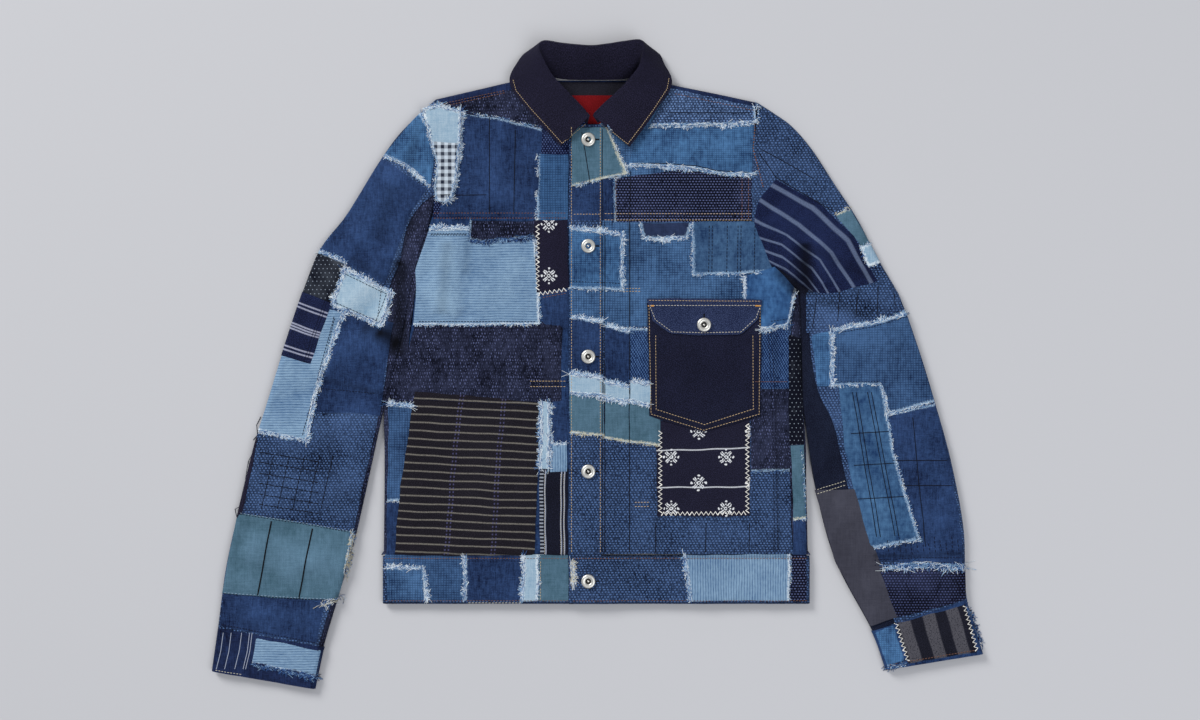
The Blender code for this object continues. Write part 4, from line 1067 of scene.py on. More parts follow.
lay_patches(
    "front_yoke_right", "front",
    ("shoulder_rows", [(-190, 302), (-122, 294), (-67, 280)], [(-190, 308), (-122, 325), (-70, 336)],
     speckled_dark, 1),
    ("indigo_yoke", [(-190, 177), (-130, 177), (-69, 177)], [(-165, 304), (-122, 296), (-67, 282)],
     indigo, 1, "s", "mixed"),
    ("pale_shoulder", [(-199, 267), (-182, 266), (-164, 265)], [(-208, 306), (-188, 310), (-162, 303)],
     linen_pale, 4, "aBS"),
    ("gingham_shoulder", [(-181, 193), (-173, 203), (-168, 226), (-163, 266)],
     [(-194, 196), (-195, 214), (-192, 240), (-198, 267)], gingham, 4, "Fas"),
)
lay_patches(
    "front_yoke_right", "front_below_lap",
    ("teal_plaid", [(-72, 172), (-35, 172)], [(-72, 252), (-35, 252)], plaid_blue, 2, "a"),
)
lay_patches(
    "front_panel_right", "front_below_lap",
    ("speckled", [(-230, -44), (-228, 11), (-218, 51)], [(-43, -44), (-43, 11), (-41, 51)],
     speckled_dark, 1),
    ("rib_chest", [(-221, 48), (-217, 78), (-217, 113), (-200, 164)],
     [(-69, 48), (-70, 78), (-71, 113), (-76, 164)], rib_pale, 2, "Bas"),
    ("dark_seam", [(-153, 149), (-141, 147), (-76, 153)], [(-153, 172), (-120, 172), (-74, 172)],
     speckled_dark, 3, "aF", "blue"),
    ("blue_placket", [(-66, 44), (-35, 44)], [(-66, 90), (-35, 92)], indigo, 1),
    ("motif_placket", [(-73, 86), (-35, 92)], [(-76, 173), (-35, 173)], chest_sprigs, 3),
    ("narrow_ruled", [(-69, -227), (-69, -125)], [(-35, -227), (-35, -125)], ruled_black, 1),
    ("dark_block", [(-56, -97), (-36, -97)], [(-56, -42), (-36, -42)], indigo, 1),
    ("upright_rib", [(-57, -128), (-37, -128)], [(-57, -93), (-37, -93)], rib_upright, 2, "s"),
    ("striped_belly", [(-242, -227), (-235, -140), (-218, -31)], [(-76, -228), (-70, -120), (-67, -45)],
     barred_black, 2),
    ("frayed_strip", [(-69, -124), (-58, -124)], [(-68, -42), (-57, -44)], linen_pale, 3, "AB"),
)
lay_patches(
    "side_panel_right", "front",
    ("side_linen", [(-251, -163), (-234, -163)], [(-250, -46), (-220, -48)], waffle_deep, 1, "fS"),
    ("side_twill", [(-252, -227), (-240, -227)], [(-251, -164), (-234, -164)], indigo, 1),
)


# ---- Patches on the waistband ----
# Scraps sewn round the band: faded blue plaid, indigo, a frayed pale strip, teal linen, a pale rib
# and a dark stitched end.

LOW = HEM_Y + 3.5
HIGH = BAND_Y + 1.5
lay_patches(
    "waistband", "front_below_lap",
    ("plaid_band", [(-252, LOW), (-158, LOW)], [(-254, HIGH), (-158, HIGH)], waffle_deep, 1),
    ("inner_band", [(-251, LOW), (-204, LOW)], [(-253, -242), (-207, -241)], waffle_cloth, 2, "SB"),
    ("dark_band", [(-158, LOW), (-88, LOW)], [(-158, HIGH), (-88, HIGH)], indigo, 1, "A"),
    ("pale_band_strip", [(-90, LOW), (-71, LOW)], [(-89, HIGH), (-71, HIGH)], linen_pale, 2, "Ab"),
    ("teal_band_end", [(-72, LOW), (-35, LOW)], [(-72, HIGH), (-35, HIGH)], linen_teal, 1),
)
lay_patches(
    "waistband", "front",
    ("rib_band", [(111, LOW), (229, LOW)], [(103, HIGH), (231, HIGH)], rib_upright, 2, "Ab", "mixed"),
    ("sashiko_band", [(229, LOW), (250, LOW)], [(230, HIGH), (250, HIGH)], sashiko_dark, 1),
)


# ---- Patches on the placket, the left front and its yoke ----
# The left front is covered with indigo, teal and printed scraps from the shoulder to the band.
# Strips that cross the placket are cut at its edge and at the pleat beside it.

SPOT_PITCH = 5.0
SPOT_RADIUS = 0.5


def spots(f):
    """Round spots in rows, every second row moved on by half a step."""
    row = f.calc("ROUND", f.y / SPOT_PITCH)
    across = f.calc("PINGPONG", f.x + row * (SPOT_PITCH / 2.0), SPOT_PITCH / 2.0)
    away = f.distance(across, f.y - row * SPOT_PITCH)
    return f.step(away, SPOT_RADIUS + 0.35, SPOT_RADIUS - 0.35)


ruled_blue = weave_cloth("ruled_blue", "10274c", "4f7399", soft_plain, fade=0.9)
belly_sprigs = weave_cloth(
    "belly_sprigs", "141322", "2a2a41", small_grains, fade=0.25,
    extra=both(sprigs(88.0, -110.0), stripes((0.30, 0.69), 0.006, 0.004, "d5d9df", 0.9, 0.2)),
)
bright_blue = weave_cloth("bright_linen", "0c2854", "446fa0", soft_plain, fade=1.1, worn="dbe8f2")
navy_spots = weave_cloth("navy_spots", "090c1a", "98a4b4", spots, fade=0.12)

lay_patches(
    "front_yoke_left", "front",
    ("linen_yoke", [(37, 238), (73, 238), (117, 235), (143, 229), (183, 227)],
     [(50, 280), (84, 283), (117, 285), (150, 287), (187, 289)], linen_blue, 2, "F"),
    ("yoke_top", [(62, 285), (120, 287), (191, 289)], [(87, 330), (140, 319.5), (188, 309)],
     rice_light, 3, "Fb"),
    ("dotted_yoke", [(19, 170), (100, 170), (185, 170)], [(19, 222), (100, 234), (184, 226)],
     sashiko_dark, 1, "a", "blue"),
    ("teal_neck", [(-31, 213), (-10, 218), (37, 228)], [(-31, 284), (-8, 284), (12, 284)],
     linen_teal, 3, "fb"),
)
lay_patches(
    "placket", "front",
    ("placket_blue", [(-32, 172), (19, 172)], [(-32, 216), (19, 226)], indigo, 1),
    ("waffle_placket", [(-33, 50), (5, 48)], [(-33, 92), (5, 92)], waffle_cloth, 1),
    ("placket_chest", [(-33, 91), (0, 91), (30, 90)], [(-33, 164), (0, 160), (30, 156)],
     linen_blue, 3, "SBf"),
    ("dark_placket", [(-33, -14), (6, -18)], [(-33, 58), (6, 53)], indigo, 2, "S"),
    ("teal_placket", [(-33, -82), (8, -85)], [(-33, -33), (8, -37)], linen_teal, 2, "f", "grey"),
    ("pale_strip_placket", [(-33, -34), (7, -37)], [(-33, -9), (7, -15)], linen_pale, 3, "FS"),
)
lay_patches(
    "front_panel_left", "front",
    ("waffle_chest", [(6, 48), (38, 46), (110, 44), (178, 44)],
     [(6, 172), (38, 172), (110, 172), (184, 172)], waffle_cloth, 1),
    ("dark_pleat", [(55, 152), (80, 151), (107, 152)], [(50, 170), (80, 170), (113, 170)],
     linen_dark, 2, "abF"),
    ("ruled_chest", [(113, 107), (160, 109), (211, 112)], [(113, 171), (150, 171), (187, 171)],
     ruled_blue, 2, "af", "mixed"),
    ("bright_chest", [(174, 42), (200, 43), (227, 46)], [(174, 106), (212, 118), (238, 90)],
     bright_blue, 3, "aFb"),
    ("indigo_pleat", [(8, -24), (38, -26)], [(9, 48), (38, 40)], indigo, 2, "S"),
    ("twill_pleat", [(39, -22), (75, -24)], [(39, 44), (75, 42)], twill_blue, 1, "s"),
    ("teal_band", [(9, -88), (38, -92)], [(9, -40), (38, -43)], linen_teal, 2, "f", "grey"),
    ("teal_side", [(39, -92), (75, -96)], [(39, -43), (75, -48)], linen_teal, 2, "f", "grey"),
    ("pale_band", [(8, -41), (38, -44)], [(8, -20), (38, -26)], linen_pale, 3, "FS"),
    ("pale_strip_side", [(39, -44), (68, -49)], [(39, -19), (68, -23)], linen_pale, 3, "FS"),
    ("motif_belly", [(71, -181), (126, -181), (182, -180)], [(71, -66), (126, -66), (182, -62)],
     belly_sprigs, 1),
    ("twill_side", [(183, -28), (229, -28)], [(183, 44), (228, 46)], twill_blue, 1),
    ("dark_side", [(183, -127), (229, -127)], [(183, -29), (228, -29)], speckled_dark, 1, "f", "blue"),
)
lay_patches(
    "side_panel_left", "front",
    ("spotted_side", [(230, -95), (247, -94)], [(227, 36), (243, 32)], navy_spots, 1),
    ("teal_side_panel", [(234, -186), (249, -184)], [(231, -96), (247, -95)], linen_teal, 1, "f"),
    ("blue_side_panel", [(234, -227), (250, -227)], [(234, -187), (249, -185)], indigo, 1),
)


# ---- Patches on the right sleeve and cuff ----
# Down the sleeve: blue linen at the shoulder, indigo, spotted and barred navy, a pale darned
# rectangle, a large pale rib, rice-stitch twill with darns, a teal panel and an indigo end.

barred_navy = weave_cloth(
    "barred_navy", "0c1026", "28325a", small_grains, fade=0.25,
    extra=both(stripes((0.10, 0.16, 0.43, 0.47, 0.51, 0.77, 0.83), 0.012, 0.007, "b4b9d0", 0.7, 0.3),
               stripes((0.78, 0.86), 0.012, 0.008, "0c1026", 0.8, use="across")),
)

lay_patches(
    "sleeve_right_top", "sleeve_right",
    ("indigo_sleeve", [(-254, 96), (-243, 124), (-230, 160), (-221, 186), (-203, 210)],
     [(-331, 138), (-312, 164), (-294, 190), (-276, 222), (-258, 248)], indigo, 1),
    ("blue_shoulder", [(-256, 250), (-225, 236), (-200, 212)], [(-212, 303), (-201, 282), (-195, 250)],
     linen_blue, 2, "Fs"),
    ("elbow_indigo", [(-340, -58), (-300, -58), (-260, -60)], [(-302, 62), (-275, 58), (-244, 50)],
     indigo, 1),
    ("darned_sleeve", [(-427, -180), (-360, -188), (-291, -198)], [(-404, -82), (-330, -60), (-262, -60)],
     rice_cloth, 1),
    ("rib_sleeve", [(-346, -92), (-338, -32), (-302, 64)], [(-406, -78), (-380, 8), (-356, 72)],
     rib_pale, 2, "FA"),
    ("banded_sleeve", [(-381, 12), (-343, 2)], [(-353, 88), (-317, 74)], barred_navy, 3),
    ("dotted_sleeve", [(-353, 88), (-317, 74)], [(-334, 136), (-299, 123)], navy_spots, 2, "S", "mixed"),
    ("pale_sleeve", [(-317, 72), (-288, 60), (-259, 47)], [(-302, 116), (-275, 101), (-246, 87)],
     linen_pale, 3, "ABFS"),
    ("dark_strip_sleeve", [(-436, -182), (-425.6, -184)], [(-409, -86), (-406, -87)], collar_navy, 2),
    ("indigo_foot", [(-453, -312.5), (-390, -324), (-335, -334)],
     [(-450, -273), (-378, -277), (-324, -281)], indigo, 1),
    ("teal_sleeve", [(-449, -273), (-378, -278), (-310, -281)], [(-430, -177), (-358, -188), (-292, -199)],
     linen_teal, 2),
)
lay_patches(
    "cuff_right", "sleeve_right",
    ("lined_cuff", [(-460, -362), (-414, -368)], [(-453, -317), (-409, -326)], dark_denim, 1),
    ("rib_cuff", [(-414, -357), (-376, -365), (-336, -374)], [(-409, -324), (-370, -332), (-330, -342)],
     rib_pale, 1, "F", "blue"),
)


# ---- Patches on the left sleeve and cuff ----
# A curved striped navy patch at the shoulder, then teal and pale scraps, ruled twill, linen, dark
# blue and stitched navy, and charcoal bars on the cuff.

curved_stripes = weave_cloth(
    "curved_stripe_navy", "090e28", "232f57", small_grains,
    extra=stripes((0.05, 0.2, 0.38, 0.57, 0.77, 0.94), 0.018, 0.008, "71809f", 0.65, 0.3, "across"),
)
ruled_linen = weave_cloth("ruled_linen", "0f2a53", "4f779f", soft_plain, fade=0.9)
charcoal_bars = weave_cloth(
    "charcoal_bars", "0e0f18", "262735", small_grains, fade=0.25,
    extra=stripes((0.13, 0.47, 0.80), 0.085, 0.012, "6d6c74", 0.5, 0.9, "across"),
)
grey_under = weave_cloth("grey_under", "282832", "4e4f5c", soft_plain, fade=0.3)

# The striped patch is cut on a curve: its rows from the armhole to the outer side of the sleeve.
STRIPED_ROWS = [
    [(208, 121), (195, 143), (188, 165), (192, 195), (213, 221)],
    [(228, 108), (220, 134), (222, 152), (238, 166), (262, 196)],
    [(246, 94), (252, 108), (262, 122), (276, 132), (306, 153)],
    [(254, 88), (268, 85), (285, 86), (304, 92), (334, 101)],
]
striped_parts = [
    ("sleeve_left", smooth_line(low, 3), smooth_line(high, 3), PATCH_CELL, own)
    for low, high, own in zip(STRIPED_ROWS, STRIPED_ROWS[1:], ("first", "none", "second"))
]
lay_cloth(
    "patch_striped_sleeve_cloth", striped_parts, curved_stripes, 0.9, PATCH_WALL, PATCH_CELL, True,
    droop=PATCH_DROOP, stands_for=["patch_striped_sleeve"],
)
lay_patches(
    "sleeve_left_top", "sleeve_left",
    ("teal_edge", [(315, 141), (328, 146)], [(282, 180), (305, 189)], linen_teal, 1, "s", "grey"),
    ("pale_edge", [(323, 118), (338, 123)], [(313, 141), (328, 147)], linen_pale, 2, "fsa"),
    ("upright_twill", [(249, 38), (283, 47), (320, 50), (371, 66)],
     [(250, 86), (290, 88), (335, 99), (360, 92)], rice_cloth, 1),
    ("blue_strip_sleeve", [(262, -26), (280, -26)], [(254, 36), (280, 42)], linen_blue, 1, "B"),
    ("linen_sleeve", [(281, -24), (339, -24), (349, -58), (403, -43)],
     [(281, 43), (325, 50), (350, 56), (369, 62)], waffle_deep, 2, "Sf"),
    ("dark_elbow", [(330, -236), (304, -120), (345, -60)], [(440, -236), (422, -115), (404, -46)],
     indigo, 1, "b"),
    ("ruled_sleeve", [(322, -220), (296, -102), (287, -23)], [(385, -209), (353, -102), (339, -22)],
     ruled_linen, 2, "sa"),
    ("dotted_cuff_end", [(355, -302), (395, -292), (440, -280)], [(332, -244), (385, -243), (441, -243)],
     sashiko_dim, 2),
)
lay_patches(
    "sleeve_left_under", "sleeve_left",
    ("grey_under", [(327, -312), (284, -234), (259, -150)], [(362, -300), (332, -222), (308, -148)],
     grey_under, 2),
)
lay_patches(
    "cuff_left", "sleeve_left",
    ("blue_cuff", [(347, -361), (370, -358)], [(331, -319), (355, -309)], linen_blue, 1, "f", "mixed"),
    ("striped_cuff", [(371, -357.5), (413, -351), (455, -344.5)], [(355, -308), (397, -296), (438.5, -285)],
     charcoal_bars, 1),
)


# ---- Chest pocket and flap ----
# A patch pocket of black-navy cloth with a pointed foot, and a dark flap with clipped corners over
# its mouth. Both are doubled at their edges and sewn with two rows of thread.

POCKET_LIFT = 2.4
FLAP_LIFT = 4.5
POCKET_DROOP = 0.8
pocket_navy = weave_cloth("pocket_navy", "0d0e1c", "262943", small_grains, fade=0.35)
flap_navy = weave_cloth("flap_navy", "121a36", "414d72", small_grains, fade=0.4)
lay_cloth(
    "pocket_cloth",
    [("front", [(62, -60), (94, -71), (127, -80), (160, -71), (195, -60)],
      [(59.5, 74), (94, 74), (127, 74), (160, 74), (196, 74)], 4.0, "both")],
    pocket_navy, lift=POCKET_LIFT, wall=1.6, matched=True, droop=POCKET_DROOP,
    stands_for=["pocket"],
)
lay_cloth(
    "pocket_flap_cloth",
    [("front", [(63, 64), (66, 52), (88, 37), (127, 36), (172, 37), (191, 55), (194, 66)],
      [(59.5, 79), (70, 79), (88, 79), (127, 79), (172, 79), (186, 78.5), (196.5, 78)], 3.0, "both")],
    flap_navy, lift=FLAP_LIFT, wall=1.8, matched=True, droop=POCKET_DROOP,
    stands_for=["pocket_flap"],
)


# ---- Buttons and buttonholes ----
# Six pressed steel donut buttons, five down the placket and one on the pocket flap: a rolled ring
# round a dark well with a small steel post. Each stands in a buttonhole bound with dark thread.

BUTTON_RADIUS = 8.2
BUTTONS = (
    ("button_1", -11, 269, 11.6), ("button_2", -11, 142, 11.6), ("button_3", -11, 10, 11.6),
    ("button_4", -11, -127, 11.6), ("button_5", -11, -258, 11.6), ("button_pocket", 127, 48, 13.6),
)
# Half the section of a button: distance from its centre, height.
BUTTON_RING = [
    (3.2, 0.9), (3.4, 1.7), (4.2, 2.5), (5.6, 2.85), (7.0, 2.8), (8.0, 2.3), (8.5, 1.3),
    (BUTTON_RADIUS, 0.3), (7.2, 0.0),
]
BUTTON_WELL = [(0.0, 1.75), (0.8, 1.7), (1.3, 1.3), (1.4, 0.7), (3.3, 0.7)]
POST_RADIUS = 1.35
WELL_RADIUS = 3.3
BUTTON_SIDES = 36

steel, _ = plain_finish("button_steel", 0.5, 0.38, tint("d9d8d2"), 0.85)
well_black, _ = plain_finish("button_well", 0.5, 0.6, tint("1c1b1c"))
for name, x, y, level in BUTTONS:
    body = bmesh.new()
    for profile in (BUTTON_RING, BUTTON_WELL):
        corners = [body.verts.new((reach * MM, 0.0, rise * MM)) for reach, rise in profile]
        edges = [body.edges.new(pair) for pair in zip(corners, corners[1:])]
        bmesh.ops.spin(
            body, geom=corners + edges, axis=(0, 0, 1), cent=(0, 0, 0), angle=math.tau,
            steps=BUTTON_SIDES, use_merge=True,
        )
    bmesh.ops.remove_doubles(body, verts=body.verts[:], dist=JOIN_GAP * MM)
    bmesh.ops.recalc_face_normals(body, faces=body.faces[:])
    for face in body.faces:
        reach = face.calc_center_median().xy.length / MM
        face.material_index = 1 if POST_RADIUS < reach < WELL_RADIUS else 0
        face.smooth = True
    bmesh.ops.translate(body, verts=body.verts[:], vec=(x * MM, y * MM, level * MM))
    mesh = bpy.data.meshes.new(f"{name}_steel")
    body.to_mesh(mesh)
    body.free()
    mesh.materials.append(steel)
    mesh.materials.append(well_black)
    button = new_object(f"{name}_steel", mesh)
    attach(button, "root")
    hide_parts(name)


# ---- Frayed edges ----
# Raw edges show their white and blue yarns: short ends that stand out from the edge and longer
# ones that lie along it. Each yarn is a thin strand lying on the topmost cloth.

random.seed(7)
FRAY_RADIUS = 0.24
FRAY_PER_MM = 2.2
SHORTEST_EDGE = 0.5
YARN_LENGTHS = (1.6, 4.6)
YARN_SWING = 0.75
YARN_BEND = 0.35
YARN_LIFTS = (0.15, 0.9)
LYING_SHARE = 0.3
LYING_STRETCH = 1.8
LOOK_INSIDE = 2.0
COVERS = ("pocket_cloth", "pocket_flap_cloth", "collar_cloth")


def top_of_cloths():
    """A search tree of every cloth laid so far, and each face's cloth."""
    corners = []
    faces = []
    owners = []
    for cloth in cloths:
        first = len(corners)
        corners.extend(corner.co.copy() for corner in cloth.data.vertices)
        faces.extend([first + k for k in face.vertices] for face in cloth.data.polygons)
        owners.extend([cloth.name] * len(cloth.data.polygons))
    return BVHTree.FromPolygons(corners, faces), owners


def top_at(x, y):
    """The height and the name of the topmost cloth at a place, or of the floor."""
    tree, owners = cloth_tops
    spot, _, face, _ = tree.ray_cast(Vector((x * MM, y * MM, 0.2)), Vector((0.0, 0.0, -1.0)))
    if spot is None:
        return 0.0, ""
    return spot.z / MM, owners[face]


def strand_mesh(name, strands, radius, finish, code):
    """Joins strands, each a list of x, y, z, into one mesh of thin four-sided threads."""
    curve = bpy.data.curves.new(name, "CURVE")
    curve.dimensions = "3D"
    curve.bevel_depth = radius * MM
    curve.bevel_resolution = 0
    curve.use_fill_caps = True
    for strand in strands:
        line = curve.splines.new("POLY")
        line.points.add(len(strand) - 1)
        flat = [value for x, y, z in strand for value in (x * MM, y * MM, z * MM, 1.0)]
        line.points.foreach_set("co", flat)
    holder = new_object(name, curve)
    bpy.context.view_layer.update()
    graph = bpy.context.evaluated_depsgraph_get()
    mesh = bpy.data.meshes.new_from_object(holder.evaluated_get(graph))
    bpy.data.objects.remove(holder)
    mesh.name = name
    mesh.shade_smooth()
    mesh.materials.clear()
    mesh.materials.append(plain_finish(finish, 0.2, 0.85, tint(code))[0])
    piece = new_object(name, mesh)
    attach(piece, "root")


FRAY_MIXES = {
    "pale": (("white", 0.45), ("sky", 0.32), ("blue", 0.23)),
    "mixed": (("white", 0.28), ("sky", 0.32), ("blue", 0.40)),
    "blue": (("sky", 0.14), ("blue", 0.40), ("deep", 0.46)),
    "grey": (("white", 0.22), ("cream", 0.50), ("sky", 0.18), ("blue", 0.10)),
    "earth": (("white", 0.40), ("cream", 0.35), ("blue", 0.25)),
}
yarns = {key: [] for key in ("white", "sky", "blue", "cream", "deep")}
cloth_tops = top_of_cloths()


def fray(edge, centre, mix, reach, amount, owner=""):
    """Adds loose yarns along an edge, pointing away from the cloth's centre. They show only where
    the cloth that owns the edge isn't covered."""
    names, shares = zip(*FRAY_MIXES[mix])
    for start, end in zip(np.array(edge, float), np.array(edge[1:], float)):
        run = end - start
        length = float(np.linalg.norm(run))
        if length < SHORTEST_EDGE:
            continue
        run /= length
        out = np.array([-run[1], run[0]])
        if (((start + end) / 2.0 - centre) * out).sum() < 0.0:
            out = -out
        for _ in range(int(length * FRAY_PER_MM * amount)):
            at = waver((start + run * random.uniform(0.0, length))[None])[0]
            tuft = 0.65 + 0.5 * math.sin(at[0] / 5.3 + at[1] / 4.1) * math.sin(at[0] / 13.0 - at[1] / 9.0)
            long = random.uniform(*YARN_LENGTHS) * reach * max(tuft, 0.25)
            swing = random.gauss(0.0, YARN_SWING)
            way = out * math.cos(swing) + run * math.sin(swing)
            if random.random() < LYING_SHARE:
                way = run * random.choice((-1.0, 1.0)) + out * random.uniform(-0.25, 0.35)
                long *= LYING_STRETCH
            bend = np.array([-way[1], way[0]]) * random.uniform(-YARN_BEND, YARN_BEND) * long
            root = at - out * random.uniform(-1.2, 1.8) * reach
            lift = random.uniform(*YARN_LIFTS)
            covering = top_at(*(at - out * LOOK_INSIDE))[1]
            if (owner and covering != owner) or covering in COVERS:
                continue
            strand = []
            for share in (0.0, 0.5, 1.0):
                x, y = root + way * long * share + bend * share * share
                z = top_at(x, y)[0] + FRAY_RADIUS * 0.5 + lift * math.sin(share * 2.2)
                strand.append((x, y, z))
            yarns[random.choices(names, shares)[0]].append(strand)


for edge, centre, mix, thick, owner in frayed_edges:
    reach, amount = (1.3, 3.0) if thick else (0.9, 0.9)
    fray(edge, centre, mix, reach, amount, owner)

# Tufts where cloths are joined raw or worn through: the edge, a point inside the cloth, the colours,
# the length and the number of the yarns.
TUFTS = [
    ([(-293, -200), (-298, -228), (-301, -256)], (-360, -230), "grey", 1.5, 2.4),
    ([(-330, -286), (-318, -284), (-304, -277)], (-340, -250), "earth", 2.4, 1.0),
    ([(-30, -234), (-30, -262)], (-60, -250), "earth", 1.5, 3.4),
    ([(190, 289), (191, 310)], (140, 300), "pale", 1.3, 2.0),
    ([(340, -243), (389, -239), (443, -241)], (390, -210), "mixed", 2.3, 1.5),
    ([(343, -364), (369, -354)], (360, -330), "blue", 1.6, 2.4),
    ([(441, -286), (461, -336)], (400, -320), "blue", 1.3, 1.6),
    ([(-414, -357), (-376, -365), (-336, -374)], (-375, -345), "blue", 1.6, 2.2),
    ([(-259, 46), (-252, 66), (-246, 87)], (-280, 90), "pale", 1.5, 1.6),
    ([(244, -100), (249, -184)], (236, -140), "mixed", 0.8, 0.6),
]
for edge, centre, mix, reach, amount in TUFTS:
    fray(edge, np.array(centre, float), mix, reach, amount)

for key, code, slot in (
    ("white", "dfe8ef", "light_rib_cloth"), ("sky", "8fb2d4", "indigo_cloth"),
    ("blue", "3a5f96", "dark_indigo_cloth"), ("cream", "cfc9b2", "teal_cloth"),
    ("deep", "18244a", "dark_indigo_cloth"),
):
    strand_mesh(f"frayed_yarns_{key}", yarns[key], FRAY_RADIUS, f"yarn_{key}", code)


# ---- Seams and stitches ----
# Topstitching in tan and brown thread along the placket, yokes, pocket and band; dark lines along
# seams and pleats, partly the seams' own dark lines and partly painted shade in their valleys; pale
# running stitches and zigzags over the patches.

# Each thread: its colour and its radius.
THREADS = {
    "tan": ("c6ad88", 0.34), "brown": ("7a5644", 0.34), "navy": ("0e1229", 0.4),
    "ecru": ("d8d2c0", 0.3), "sky": ("90a5bd", 0.34), "zigzag": ("f8f6ef", 0.7), "lining": ("aab3c6", 0.4),
    "seam": ("0a0d1c", 0.5), "hole": ("08090f", 0.9), "orange": ("cf9a52", 0.5),
}
THREAD_SPOTS = 12
# A stitch: places along it as shares of half its length, and their heights over the cloth.
STITCH_PATH = ((-1.0, -0.1), (0.0, 0.28), (1.0, -0.1))
STITCH_DRIFT = 0.12
threads = {key: [] for key in THREADS}
cloth_tops = top_of_cloths()


def walk(points, step):
    """Places at even steps along a line, each with the way that the line runs there."""
    spots = np.array(points, float)
    gaps = np.linalg.norm(np.diff(spots, axis=0), axis=1)
    travel = np.concatenate([[0.0], np.cumsum(gaps)])
    at = np.arange(step / 2.0, travel[-1], step)
    line, ahead, behind = (
        np.column_stack([np.interp(at + shift, travel, spots[:, k]) for k in (0, 1)])
        for shift in (0.0, 0.5, -0.5)
    )
    way = ahead - behind
    way /= np.maximum(np.linalg.norm(way, axis=1), 1e-6)[:, None]
    return line, way


def lying(spots, rise):
    """Places on the topmost cloth, or a little over it."""
    return [(x, y, top_at(x, y)[0] + rise) for x, y in spots]


def sew(thread, *points, step=3.6, share=0.58, offset=0.0):
    """A row of stitches, each rising out of the cloth and going back into it."""
    for at, way in zip(*walk(points, step)):
        side = np.array([-way[1], way[0]])
        at = at + side * (offset + random.uniform(-STITCH_DRIFT, STITCH_DRIFT))
        reach = way * (step * share / 2.0)
        strand = []
        for place, rise in STITCH_PATH:
            strand += lying([at + reach * place], rise)
        threads[thread].append(strand)


def sew_twice(thread, gap, *points):
    sew(thread, *points, offset=-gap / 2.0)
    sew(thread, *points, offset=gap / 2.0)


def add_line(thread, spots):
    """One thread along a line, in lengths short enough to bend with the cloth."""
    for first in range(0, len(spots) - 1, THREAD_SPOTS):
        threads[thread].append(spots[first:first + THREAD_SPOTS + 1])


def zigzag(*points, thread="zigzag", wide=4.2, step=2.8):
    """A zigzag stitch over an edge."""
    spots = []
    for number, (at, ahead) in enumerate(zip(*walk(points, step))):
        side = np.array([-ahead[1], ahead[0]])
        spots.append(at + side * (wide / 2.0 if number % 2 else -wide / 2.0))
    add_line(thread, lying(spots, 0.15))


def seam(*points, thread="seam", step=5.0):
    """A seam or pressed pleat, seen as one line in the cloth, dark by default: partly the seam's own dark
    line and partly painted shade in its valley.
    """
    add_line(thread, lying(walk(points, step)[0], 0.02))


# The right front and its yoke.
sew_twice("brown", 6.0, (-196, 178.5), (-36, 178.5))
seam((-129, 178), (-129, 297))
seam((-190, 203), (-130, 203))
seam((-100, 178), (-98, 285))
zigzag((-200, 156), (-155, 156), thread="navy", wide=2.4, step=1.7)
sew_twice("tan", 6.5, (-81, -22.5), (-38, -22.5))
zigzag((-71.5, 88), (-71.5, 168))
zigzag((-72, 84.5), (-36, 90.5))
sew_twice("brown", 3.0, (-66, 82), (-38, 87))
for x in (-63.0, -43.8, -40.0):
    sew("ecru", (x, -226), (x, -129), step=2.6)
sew("navy", (-218, -41), (-76, -49))
sew("navy", (-216, 44), (-48, 44))
sew("navy", (-214, 52), (-74, 52))

# The band's topstitching and hem.
for start, end in ((-254, -36), (-30, 250)):
    for y in (-231, -281.6):
        sew("brown", (start, y), (end, y))
sew("navy", (-155, -234), (-90, -234))
sew("tan", (-68, -234), (-68, -280))
sew("ecru", (-155, -284.3), (-90, -284.3), step=4.0)

# The placket, its pleats and the left front.
sew("tan", (-31, -224), (-31, 282))
sew("tan", (3.4, -224), (3.4, 284))
# Pleat valleys, drawn as dark lines of painted shade.
seam((8.8, -226), (8.8, 172))
seam((5.6, -226), (5.6, 284))
seam((38.2, -226), (38.2, 172), (40, 235))
for x in (69.0, 129.0, 181.0):
    seam((x, -226), (x + 0.6, -184))
sew_twice("tan", 7.5, (8, 177.0), (186, 177.0))
sew("tan", (-29, 180), (5, 180))
for x in (22.0, 172.6, 180.4):
    sew("brown", (x, 174), (x, 227))
seam((-19, 280), (-14, 250), (-9, 218))
seam((40, 241), (74, 241), (118, 238), (143, 232), (182, 230))
seam((84, 301), (186, 301))
for y in (88.0, 91.5):
    sew("tan", (30, y), (52, y))
for y in (-164.0, -169.0):
    sew("tan", (44, y), (62, y))
sew("navy", (-34, 100), (36, 97))
sew("navy", (206, 52), (226, 55))
sew("brown", (188, -20), (226, -20), step=2.4)
for x in (132.6, 136.4, 154.2, 166.9, 170.6, 187.0):
    sew("navy", (x, 110), (x + 1, 169), step=4.4, share=0.7)
zigzag((75, -178), (75, -78))
zigzag((179, -178), (179, -70))
zigzag((75, -177.8), (179, -176.8))
for x in (204.0, 207.5):
    sew("navy", (x + 8, -222), (x + 4, -30), (x, 40))

# The pocket and its flap, with bar tacks at the corners.
POCKET_EDGE = [(61.5, 72), (64, -58.5), (127, -77.8), (193, -58.6), (194, 72)]
POCKET_INNER = [(69.4, 36), (70, -53), (127.7, -71), (186, -52.5), (185.4, 36)]
sew("tan", *POCKET_EDGE)
sew("tan", *POCKET_INNER)
sew("ecru", (62.5, 70), (69, 54), (89, 39.5), (127, 38.5), (171, 39.5), (189, 56), (194, 70))
sew("ecru", (62, 71), (193, 71))
sew("tan", (61, 77), (195, 76))
for x in (60.5, 188.0):
    for y in (70.2, 71.0):
        threads["orange"].append(lying([(x, y), (x + 3.5, y), (x + 7.0, y)], 0.1))

